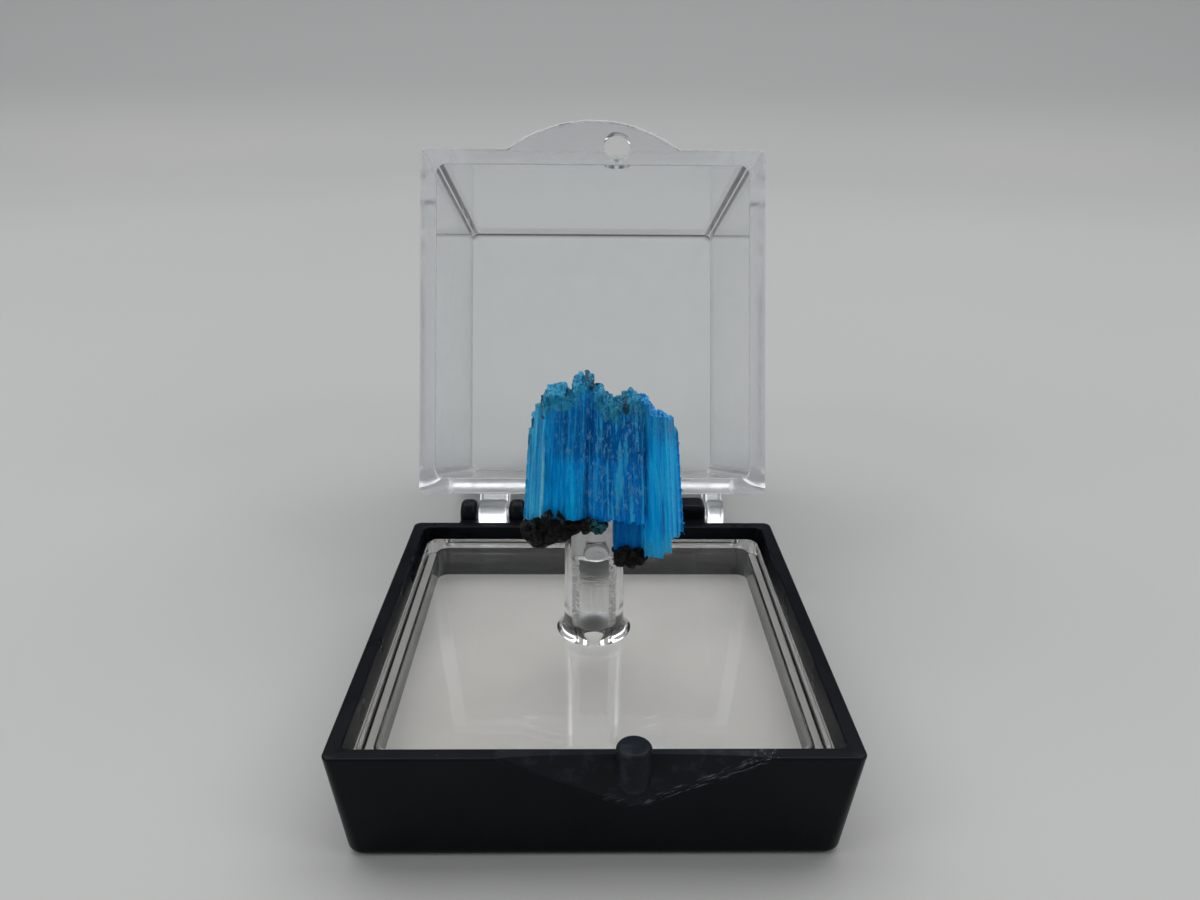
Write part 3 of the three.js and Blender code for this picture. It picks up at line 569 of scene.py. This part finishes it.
    shader.inputs["IOR"].default_value = 1.53
    shader.inputs["Specular IOR Level"].default_value = 0.6
    shader.inputs["Specular Tint"].default_value = (0.03, 0.55, 1.0, 1.0)
    shader.inputs["Transmission Weight"].default_value = 0.12
    shader.inputs["Subsurface Weight"].default_value = 0.15
    shader.inputs["Subsurface Radius"].default_value = (0.2, 0.6, 1.0)
    shader.inputs["Subsurface Scale"].default_value = 0.35 * MM
    tree.links.new(remap(tree, dashes, 0.35, 0.65, 0.4, 0.15), shader.inputs["Roughness"])
    relief = maths(tree, "ADD", thin, maths(tree, "MULTIPLY", scales, 0.8))
    relief = maths(tree, "MULTIPLY", relief, remap(tree, u, 2.8, 3.6, 1.0, 0.4))
    bump(tree, shader, maths(tree, "ADD", relief, maths(tree, "MULTIPLY", flakes_and_sparkle, 0.4)), 0.12, 0.8)
    return material


def dark_matrix():
    material, tree, shader = new_material("dark_matrix")
    lumps = grain(tree, place(tree), 2.6, 5.0, 0.75)
    colour = steps(tree, lumps, [
        (0.35, (0.0010, 0.0009, 0.0011)), (0.52, (0.0035, 0.0027, 0.0030)), (0.64, (0.026, 0.020, 0.021)),
    ])
    x = axis(tree, "X")
    z = axis(tree, "Z")
    # The crust at the right end of the larger chunk is stained teal, as are a few grains along its top
    stain = maths(tree, "MULTIPLY", window(tree, x, -0.15, 0.9, 0.3), remap(tree, z, 15.9, 16.2))
    crumbs = grain(tree, place(tree), 2.6, 4.0, 0.6)
    patches = steps(tree, crumbs, [(0.44, 0.0), (0.53, 1.0)])
    colour = blend(tree, maths(tree, "MULTIPLY", stain, patches), colour, (0.02, 0.13, 0.15))
    rim = maths(tree, "MULTIPLY", remap(tree, z, 17.2, 17.9), steps(tree, crumbs, [(0.56, 0.0), (0.62, 1.0)]))
    colour = blend(tree, maths(tree, "MULTIPLY", rim, 0.6), colour, (0.02, 0.10, 0.13))
    tree.links.new(colour, shader.inputs["Base Color"])
    shader.inputs["Roughness"].default_value = 0.5
    shader.inputs["Specular IOR Level"].default_value = 0.16
    bump(tree, shader, grain(tree, place(tree), 6.0, 4.0, 0.7), 0.1, 0.9)
    return material


# Pieces

def new_object(name, mesh):
    made = bpy.data.objects.new(name, mesh)
    bpy.context.collection.objects.link(made)
    return made


def welded_copy(node_name, name):
    """A copy of a node's mesh with shared corners and whole flat faces."""
    source = frame["nodes"][node_name]
    mesh = source.data.copy()
    mesh.transform(source.matrix_world)
    mesh.materials.clear()
    work = bmesh.new()
    work.from_mesh(mesh)
    bmesh.ops.remove_doubles(work, verts=work.verts, dist=0.0005 * MM)
    work.to_mesh(mesh)
    work.free()
    mesh.name = name
    return new_object(name, mesh)


def apply_modifiers(piece):
    depsgraph = bpy.context.evaluated_depsgraph_get()
    solid = bpy.data.meshes.new_from_object(piece.evaluated_get(depsgraph))
    old = piece.data
    piece.modifiers.clear()
    piece.data = solid
    bpy.data.meshes.remove(old)


def smooth_by_angle(piece, degrees):
    mesh = piece.data
    mesh.polygons.foreach_set("use_smooth", [True] * len(mesh.polygons))
    mesh.set_sharp_from_angle(angle=math.radians(degrees))


def fine_copy(node_name, name, voxel):
    """A node's copy remeshed to an even fine grid."""
    piece = welded_copy(node_name, name)
    remesh = piece.modifiers.new("remesh", "REMESH")
    remesh.mode = "VOXEL"
    remesh.voxel_size = voxel * MM
    apply_modifiers(piece)
    return piece


def read_mesh(piece):
    """The vertices and their normals, in millimetres."""
    mesh = piece.data
    count = len(mesh.vertices)
    spots = np.empty(count * 3)
    mesh.vertices.foreach_get("co", spots)
    normals = np.empty(count * 3)
    mesh.vertices.foreach_get("normal", normals)
    return spots.reshape(-1, 3) / MM, normals.reshape(-1, 3)


def write_mesh(piece, spots):
    piece.data.vertices.foreach_set("co", (spots * MM).ravel())
    piece.data.update()


def noise_at(spots, scale, shift=0.0):
    """Smooth noise from -1 to 1 at each spot; scale may differ by axis."""
    scaled = spots * np.asarray(scale, dtype=float) + shift
    return np.array([noise.noise(Vector(spot)) for spot in scaled])


def scoops(spots, scale):
    """Hollows between sharp edges: 0 in a hollow's middle, rising to its edges."""
    return np.array([noise.voronoi(Vector(spot) * scale)[0][0] for spot in spots])


def between(values, low, high):
    share = np.clip((values - low) / (high - low), 0.0, 1.0)
    return share * share * (3 - 2 * share)


def upright(spots):
    """The spots with the columns' spread taken out, so that striae run up the columns."""
    straight = spots.copy()
    straight[:, 0] /= 1 + SPREAD_PER_MM * (SPREAD_HEIGHT - spots[:, 2])
    return straight


def groove(straight, middle, width, low, high):
    """1 along a narrow upright line of the crystal's front, fading at its ends."""
    across = np.exp(-((straight[:, 0] - middle) / width) ** 2)
    along = between(straight[:, 2], low - 0.6, low) * (1 - between(straight[:, 2], high, high + 0.6))
    return across * along


def make_crystal(material):
    piece = fine_copy("crystal", "crystal_fine", CRYSTAL_VOXEL)
    spots, normals = read_mesh(piece)
    straight = upright(spots)
    side = 1 - between(np.abs(normals[:, 2]), 0.35, 0.8)
    striae = 0.045 * noise_at(straight, (2.2, 2.2, 0.06), 3.0)
    striae += 0.045 * noise_at(straight, (4.6, 4.6, 0.12), 11.0)
    striae += 0.03 * noise_at(straight, (8.5, 8.5, 0.3), 17.0)
    striae -= 0.09 * groove(straight, LEFT_SEAM, 0.08, *LEFT_SEAM_SPAN)
    striae -= 0.07 * groove(straight, RIGHT_SEAM, 0.06, *RIGHT_SEAM_SPAN)
    striae += 0.06 * groove(straight, RIDGE, 0.07, *RIDGE_SPAN)
    striae *= 1 - 0.7 * between(straight[:, 0], 3.2, 3.7)
    broken = 0.22 * noise_at(spots, 1.8, 5.0) + 0.18 * noise_at(spots, 3.7, 9.0)
    broken += 0.10 * noise_at(spots, 7.0, 2.0)
    bruise = between(spots[:, 0], -2.6, -1.4) * (1 - between(spots[:, 0], 2.6, 3.6))
    bruise *= between(spots[:, 2], 18.8, 21.5)
    scaly = 0.06 * noise_at(spots, (4.5, 4.5, 2.2), 23.0) * bruise
    near_top = 0.45 * between(spots[:, 2], 24.6, 26.6)
    push = striae * side + broken * np.maximum(1 - side, near_top) + scaly
    write_mesh(piece, spots + normals * push[:, None])
    smooth_by_angle(piece, 40)
    piece.data.materials.append(material)
    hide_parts("crystal")
    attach(piece, "box")


def make_matrix(node_name, material):
    piece = fine_copy(node_name, node_name + "_rock", MATRIX_VOXEL)
    spots, normals = read_mesh(piece)
    push = 0.55 * (scoops(spots, 1.1) - 0.45) + 0.3 * (scoops(spots, 2.6) - 0.45)
    push += 0.08 * noise_at(spots, 5.0, 9.0)
    push += 0.04 * noise_at(spots, 9.0, 13.0)
    spots = spots + normals * push[:, None]
    climb = between(spots[:, 2], 16.7, 17.9) * between(-spots[:, 1], 3.9, 4.5)
    climb *= 1 - between(np.abs(spots[:, 0] + 3.2), 0.7, 1.4)
    spots[:, 2] += 0.6 * climb
    spots[:, 1] -= 0.12 * climb
    write_mesh(piece, spots)
    chips = piece.modifiers.new("chips", "DECIMATE")
    chips.ratio = MATRIX_FACETS
    apply_modifiers(piece)
    smooth_by_angle(piece, 12)
    piece.data.materials.append(material)
    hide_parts(node_name)
    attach(piece, "box")


def make_glue(material):
    piece = fine_copy("glue", "glue_drops", GLUE_VOXEL)
    smoothing = piece.modifiers.new("smoothing", "SMOOTH")
    smoothing.factor = 0.5
    smoothing.iterations = 6
    apply_modifiers(piece)
    spots, normals = read_mesh(piece)
    # The drop on the ledge bulges more than the film above it
    bulge = between(spots[:, 2], 13.55, 13.8) * (1 - between(spots[:, 2], 14.6, 14.9))
    bulge *= between(-spots[:, 1], 1.45, 1.55)
    write_mesh(piece, spots + (GLUE_SWELL + DROP_BULGE * bulge)[:, None] * normals)
    smooth_by_angle(piece, 80)
    piece.data.materials.append(material)
    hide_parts("glue")
    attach(piece, "box")


# Moulded pieces: built in millimetres, joined and cut, then turned into metres

def ring(half, z, radius=CORNER_RADIUS):
    """A rounded square's points, counter-clockwise seen from above."""
    inner = half - radius
    signs = ((1, 1), (-1, 1), (-1, -1), (1, -1))
    points = []
    for quarter_turn, (side, fore) in enumerate(signs):
        for k in range(CORNER_STEPS + 1):
            angle = math.pi / 2 * (quarter_turn + k / CORNER_STEPS)
            x = side * inner + radius * math.cos(angle)
            y = fore * inner + radius * math.sin(angle)
            points.append((x, y, z))
    return points


def circle(radius, z, middle=(0.0, 0.0), steps=ROUND_STEPS):
    turns = [2 * math.pi * k / steps for k in range(steps)]
    return [(middle[0] + radius * math.cos(a), middle[1] + radius * math.sin(a), z) for a in turns]


def skinned(name, rings):
    """A closed solid drawn through rings of equal length, with flat ends."""
    size = len(rings[0])
    verts = [point for points in rings for point in points]
    faces = [tuple(reversed(range(size)))]
    for k in range(len(rings) - 1):
        for i in range(size):
            j = (i + 1) % size
            faces.append((k * size + i, k * size + j, (k + 1) * size + j, (k + 1) * size + i))
    faces.append(tuple((len(rings) - 1) * size + i for i in range(size)))
    mesh = bpy.data.meshes.new(name)
    mesh.from_pydata(verts, [], faces)
    return new_object(name, mesh)


def across(name, outline, low, high):
    """An outline of Y and Z points, counter-clockwise seen from +X, drawn out along X."""
    return skinned(name, [[(x, y, z) for y, z in outline] for x in (low, high)])


def inset(outline, amount):
    """A convex outline with every side moved inwards by an amount."""
    moved = []
    for i, here in enumerate(outline):
        here = Vector(here)
        before = (here - Vector(outline[i - 1])).normalized()
        after = (Vector(outline[(i + 1) % len(outline)]) - here).normalized()
        inward = (Vector((-before.y, before.x)) + Vector((-after.y, after.x))).normalized()
        moved.append(tuple(here + inward * amount / max(inward.dot(Vector((-after.y, after.x))), 0.3)))
    return moved


def soft_across(name, outline, low, high, soft):
    """An outline drawn out along X with rounded ends."""
    turns = quarter(SOFT_STEPS)
    start = [(low + soft * (1 - math.sin(a)), soft * (1 - math.cos(a))) for a in reversed(turns)]
    finish = [(high - soft * (1 - math.sin(a)), soft * (1 - math.cos(a))) for a in turns]
    rings = []
    for x, amount in start + finish:
        rings.append([(x, y, z) for y, z in inset(outline, amount)])
    return skinned(name, rings)


def round_outline(y, z, radius):
    turns = [2 * math.pi * k / ROUND_STEPS for k in range(ROUND_STEPS)]
    return [(y + radius * math.cos(a), z + radius * math.sin(a)) for a in turns]


def rod(name, y, z, radius, low, high):
    return across(name, round_outline(y, z, radius), low, high)


def block(name, low, high):
    outline = [(low[1], low[2]), (high[1], low[2]), (high[1], high[2]), (low[1], high[2])]
    return across(name, outline, low[0], high[0])


def rounding(corner, radius, start, steps=5):
    """Pairs along a quarter round; start is the angle of its first point, in quarter turns."""
    angles = [math.pi / 2 * (start + k / steps) for k in range(steps + 1)]
    return [(corner[0] + radius * math.cos(a), corner[1] + radius * math.sin(a)) for a in angles]


def combine(piece, others, operation):
    """Joins others to a piece, or cuts them from it."""
    for other in others:
        step = piece.modifiers.new("combine", "BOOLEAN")
        step.object = other
        step.operation = operation
        step.solver = "EXACT"
        apply_modifiers(piece)
        bpy.data.objects.remove(other)


def finish_moulded(piece, node_name, material, body, turn=None):
    """Metres, clean shading with flat faces kept flat, material, and its place in the frame."""
    if turn is not None:
        piece.data.transform(turn)
    piece.data.transform(Matrix.Scale(MM, 4))
    smooth_by_angle(piece, 30)
    step = piece.modifiers.new("flat", "WEIGHTED_NORMAL")
    step.keep_sharp = True
    apply_modifiers(piece)
    piece.data.materials.clear()
    piece.data.materials.append(material)
    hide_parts(node_name)
    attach(piece, body)


def latch_pin():
    soft = 0.3
    profile = [(0.02, PIN_FOOT)]
    profile += rounding((0.0, PIN_FOOT + PIN_RADIUS), PIN_RADIUS, -1, 10)[1:]
    profile += rounding((PIN_RADIUS - soft, PIN_TOP - soft), soft, 0, 6)
    return skinned("pin", [circle(radius, z, (PIN_X, PIN_Y)) for radius, z in profile])


def tray_ear(low, high):
    wall = BOX_HALF - JOIN_DEPTH
    arm = [
        (wall, RIM_HEIGHT - GUSSET_DROP),
        (HINGE_Y + KNUCKLE_RADIUS * 0.75, RIM_HEIGHT - KNUCKLE_RADIUS * 0.65),
        (HINGE_Y + KNUCKLE_RADIUS * 0.5, RIM_HEIGHT),
        (wall, RIM_HEIGHT),
    ]
    ear = soft_across("ear", arm, low, high, 0.25)
    eye = soft_across("eye", round_outline(HINGE_Y, RIM_HEIGHT, KNUCKLE_RADIUS), low, high, EAR_SOFTNESS)
    combine(ear, [eye], "UNION")
    return ear


def tray_lug(low, high):
    wall = BOX_HALF - JOIN_DEPTH
    half = LUG_HALF
    top = RIM_HEIGHT + LUG_RISE
    corner = LUG_CORNER
    side = [(HINGE_Y - half, RIM_HEIGHT - 2), (HINGE_Y + half, RIM_HEIGHT - 1)]
    side += rounding((HINGE_Y + half - corner, top - corner), corner, 0)
    side += rounding((HINGE_Y - half + corner, top - corner), corner, 1)
    gusset = [
        (wall, RIM_HEIGHT - GUSSET_DROP),
        (HINGE_Y + half - 0.1, RIM_HEIGHT - 1.05),
        (HINGE_Y + half - 0.1, RIM_HEIGHT),
        (wall, RIM_HEIGHT),
    ]
    lug = soft_across("lug", side, low, high, EAR_SOFTNESS)
    combine(lug, [soft_across("gusset", gusset, low, high, 0.25)], "UNION")
    return lug


def latch_recess():
    """A shallow pointed hollow for a thumb, deepest at the rim and drawn on past it."""
    turns = [2 * math.pi * i / ROUND_STEPS for i in range(ROUND_STEPS)]
    rings = []
    for grow in (RECESS_POINT, 1.1 + RECESS_POINT):
        z = RECESS_BOTTOM + grow * (RIM_HEIGHT - RECESS_BOTTOM)
        wide = RECESS_HALF_WIDTH * grow
        deep = RECESS_DEPTH * grow
        rings.append([(PIN_X + wide * math.cos(a), -BOX_HALF + deep * math.sin(a), z) for a in turns])
    return skinned("recess", rings)


def make_tray(material):
    rim = 0.14
    inner = BOX_HALF - TRAY_WALL
    foot = [
        (FOOT_HALF - FOOT_ROUNDING * (1 - math.sin(a)), FOOT_ROUNDING * (1 - math.cos(a)))
        for a in quarter(6)
    ]
    edge = rounding((BOX_HALF - rim, RIM_HEIGHT - rim), rim, 0)
    lip = rounding((inner + rim, RIM_HEIGHT - rim), rim, 1)
    rings = [ring(half, z, FOOT_CORNER) for half, z in foot]
    rings += [ring(half, z) for half, z in edge]
    rings += [ring(half, z, INNER_CORNER) for half, z in lip + [(inner - INNER_DRAFT, TRAY_FLOOR)]]
    tray = skinned("tray_moulding", rings)
    combine(tray, [latch_recess()], "DIFFERENCE")
    others = [tray_ear(*span) for span in TRAY_EARS]
    others += [tray_lug(*RIGHT_LUG), latch_pin()]
    combine(tray, others, "UNION")
    bores = [rod("bore", HINGE_Y, RIM_HEIGHT, HOLE_RADIUS, *span) for span in TRAY_BORES]
    combine(tray, bores, "DIFFERENCE")
    finish_moulded(tray, "tray", material, "box")


def lid_arm(low, high):
    wall = BOX_HALF - LID_WALL / 2
    arm = [
        (wall, MOUTH + ARM_LIFT),
        (HINGE_Y - KNUCKLE_RADIUS * 0.6, RIM_HEIGHT),
        (HINGE_Y + KNUCKLE_RADIUS * 0.85, RIM_HEIGHT + KNUCKLE_RADIUS * 0.5),
        (BOX_HALF - 0.05, RIM_HEIGHT + GUSSET_DROP),
        (wall, RIM_HEIGHT + GUSSET_DROP),
    ]
    piece = soft_across("arm", arm, low, high, 0.2)
    eye = soft_across("knuckle", round_outline(HINGE_Y, RIM_HEIGHT, KNUCKLE_RADIUS), low, high, ARM_SOFTNESS)
    combine(piece, [eye], "UNION")
    return piece


def lid_tab():
    radius = (TAB_HALF_WIDTH ** 2 + TAB_REACH ** 2) / (2 * TAB_REACH)
    middle = (0.0, -BOX_HALF - TAB_REACH + radius)
    edge = 0.12
    rings = [
        circle(radius - edge, MOUTH, middle, 2 * ROUND_STEPS),
        circle(radius, MOUTH + edge, middle, 2 * ROUND_STEPS),
        circle(radius, MOUTH + TAB_THICKNESS - edge, middle, 2 * ROUND_STEPS),
        circle(radius - edge, MOUTH + TAB_THICKNESS, middle, 2 * ROUND_STEPS),
    ]
    tab = skinned("tab", rings)
    near = (-BOX_HALF, -BOX_HALF - TAB_REACH - 1, MOUTH - 1)
    far = (BOX_HALF, -BOX_HALF + JOIN_DEPTH, MOUTH + 3)
    keep = block("keep", near, far)
    combine(tab, [keep], "INTERSECT")
    return tab


def make_lid(material):
    lip = 0.12
    top = LID_ROUNDING
    end = 0.45
    mouth = BOX_HALF - LID_WALL
    far = BOX_HALF - LID_DRAFT
    inside = mouth - LID_DRAFT
    ceiling = CLOSED_HEIGHT - LID_TOP
    inner = [(inside - end + end * math.sin(a), ceiling - end + end * math.cos(a)) for a in quarter(6)]
    inner += [(mouth + lip - lip * math.cos(a), MOUTH + lip - lip * math.sin(a)) for a in quarter(4)]
    outer = [(BOX_HALF - lip + lip * math.sin(a), MOUTH + lip - lip * math.cos(a)) for a in quarter(4)]
    outer += [(far - top + top * math.cos(a), CLOSED_HEIGHT - top + top * math.sin(a)) for a in quarter(7)]
    rings = [ring(half, z, LID_INNER_CORNER) for half, z in inner]
    rings += [ring(half, z) for half, z in outer]
    lid = skinned("lid_moulding", rings)
    combine(lid, [lid_tab()], "UNION")
    heights = (MOUTH - 1, MOUTH + TAB_THICKNESS + 0.55)
    hole = skinned("hole", [circle(PIN_HOLE_RADIUS, z, (PIN_X, PIN_Y)) for z in heights])
    combine(lid, [hole], "DIFFERENCE")
    others = [lid_arm(*span) for span in LID_ARMS]
    others += [rod("pivot", HINGE_Y, RIM_HEIGHT, PIVOT_RADIUS, *span) for span in LID_PIVOTS]
    combine(lid, others, "UNION")
    hinge = Vector((0, HINGE_Y, RIM_HEIGHT))
    swing = Matrix.Rotation(-math.radians(OPEN_ANGLE), 4, "X")
    turn = Matrix.Translation(hinge) @ swing @ Matrix.Translation(-hinge)
    finish_moulded(lid, "lid", material, "lid", turn)


def quarter(steps):
    """Angles from 0 to a right angle."""
    return [math.pi / 2 * k / steps for k in range(steps + 1)]


def make_stand(material):
    edge = 0.3
    inner = STAND_HALF - STAND_WALL
    under = STAND_TOP - STAND_PLATE
    inside = 0.3
    profile = [(inner - 0.05 - inside, under)]
    profile += [(inner - 0.05 - inside + inside * math.sin(a), under - inside + inside * math.cos(a))
                for a in quarter(5)[1:]]
    profile += [(inner, STAND_FOOT), (STAND_HALF, STAND_FOOT)]
    profile += [(STAND_HALF - 0.05 - edge + edge * math.cos(a), STAND_TOP - edge + edge * math.sin(a))
                for a in quarter(5)]
    stand = skinned("stand_moulding", [ring(half, z, STAND_CORNER) for half, z in profile])
    foot = [
        (POST_FOOT_RADIUS - 0.04, STAND_TOP - STAND_PLATE / 2),
        (POST_FOOT_RADIUS, STAND_TOP + 0.02),
        (POST_FOOT_RADIUS - 0.05, STAND_TOP + 0.10),
        (POST_FOOT_RADIUS - 0.16, STAND_TOP + 0.20),
        (POST_FOOT_RADIUS - 0.31, STAND_TOP + 0.34),
        (POST_FOOT_RADIUS - 0.44, STAND_TOP + 0.52),
        (POST_RADIUS + 0.02, STAND_TOP + 0.75),
        (POST_RADIUS, STAND_TOP + 1.1),
        (POST_TOP_RADIUS + 0.04, POST_TOP - 0.05),
        (POST_TOP_RADIUS, POST_TOP),
    ]
    post = skinned("post", [circle(radius, z) for radius, z in foot])
    dome = [(CORE_RADIUS, under - 1)]
    spring = CORE_TOP - CORE_RISE
    dome += [(max(CORE_RADIUS * math.cos(a), 0.01), spring + CORE_RISE * math.sin(a)) for a in quarter(16)]
    core = skinned("core", [circle(radius, z) for radius, z in dome])
    reach = POST_FOOT_RADIUS
    cut = block("cut", (-reach, -reach, LEDGE_HEIGHT), (reach, POST_FLAT_Y, POST_TOP + 1))
    combine(stand, [post], "UNION")
    combine(stand, [core, cut], "DIFFERENCE")
    finish_moulded(stand, "stand", material, "box")


def make_card(material):
    edge = 0.06
    profile = [
        (CARD_HALF - edge, CARD_FOOT),
        (CARD_HALF, CARD_FOOT + edge),
        (CARD_HALF, CARD_TOP - edge),
        (CARD_HALF - edge, CARD_TOP),
    ]
    card = skinned("card_sheet", [ring(half, z, CORNER_RADIUS * 0.4) for half, z in profile])
    finish_moulded(card, "card", material, "box")


# Floor, backdrop and light

def make_backdrop():
    """A pale floor that curves up into a wall far behind, painted darker up the wall as painted shade."""
    width = 1500
    near = -900
    start = 541
    radius = 260
    height = 900
    turns = 24
    profile = [(near, 0.0)]
    for k in range(turns + 1):
        angle = math.pi / 2 * k / turns
        profile.append((start + radius * math.sin(angle), radius * (1 - math.cos(angle))))
    profile.append((start + radius, height))
    verts = [(x * MM, y * MM, z * MM) for y, z in profile for x in (-width, width)]
    faces = [(2 * k, 2 * k + 1, 2 * k + 3, 2 * k + 2) for k in range(len(profile) - 1)]
    mesh = bpy.data.meshes.new("floor")
    mesh.from_pydata(verts, [], faces)
    floor = new_object("floor", mesh)
    smooth_by_angle(floor, 60)
    material, tree, shader = new_material("floor_paint")
    shade = grain(tree, place(tree), 0.004, 2.0)
    floor_tone = steps(tree, shade, [(0.3, (0.445, 0.455, 0.45)), (0.7, (0.475, 0.48, 0.47))])
    height = axis(tree, "Z")
    # Painted shade: the backdrop darkens from the floor up the wall, to near black high on it
    tone = blend(tree, remap(tree, height, 2.0, 60.0), floor_tone, (0.385, 0.385, 0.39))
    tone = blend(tree, remap(tree, height, 130.0, 350.0), tone, (0.06, 0.06, 0.062))
    tree.links.new(tone, shader.inputs["Base Color"])
    shader.inputs["Roughness"].default_value = 0.7
    mesh.materials.append(material)


def make_light(name, where, aim, size, power):
    data = bpy.data.lights.new(name, "AREA")
    data.shape = "RECTANGLE"
    data.size = size[0] * MM
    data.size_y = size[1] * MM
    data.energy = power
    light = bpy.data.objects.new(name, data)
    light.location = Vector(where) * MM
    light.rotation_mode = "QUATERNION"
    light.rotation_quaternion = (Vector(where) - Vector(aim)).to_track_quat("Z", "Y")
    bpy.context.collection.objects.link(light)


def make_lights():
    world = bpy.data.worlds.new("room")
    world.use_nodes = True
    back = world.node_tree.nodes["Background"]
    back.inputs["Color"].default_value = (0.86, 0.87, 0.88, 1.0)
    back.inputs["Strength"].default_value = 0.40
    bpy.context.scene.world = world
    make_light("overhead", (0, 560, 920), (0, 60, 0), (2100, 1250), 17.0)
    make_light("left", (-330, -160, 300), (0, 0, 15), (160, 160), 0.25)
    make_light("right", (330, -160, 300), (0, 0, 15), (160, 160), 0.25)


def set_view():
    scene = bpy.context.scene
    scene.view_settings.view_transform = "Standard"
    scene.view_settings.look = "None"
    # Light passes several walls of clear plastic, one behind the other
    scene.cycles.max_bounces = CLEAR_BOUNCES
    scene.cycles.transmission_bounces = CLEAR_BOUNCES
    scene.cycles.glossy_bounces = CLEAR_BOUNCES


def main():
    clear_factory_scene()
    make_camera()
    set_view()
    matrix = dark_matrix()
    make_crystal(blue_crystal())
    make_matrix("matrix_left", matrix)
    make_matrix("matrix_right", matrix)
    make_glue(clear_glue())
    make_tray(black_plastic())
    make_stand(stand_plastic())
    make_card(white_card())
    make_lid(clear_plastic())
    make_backdrop()
    make_lights()


main()
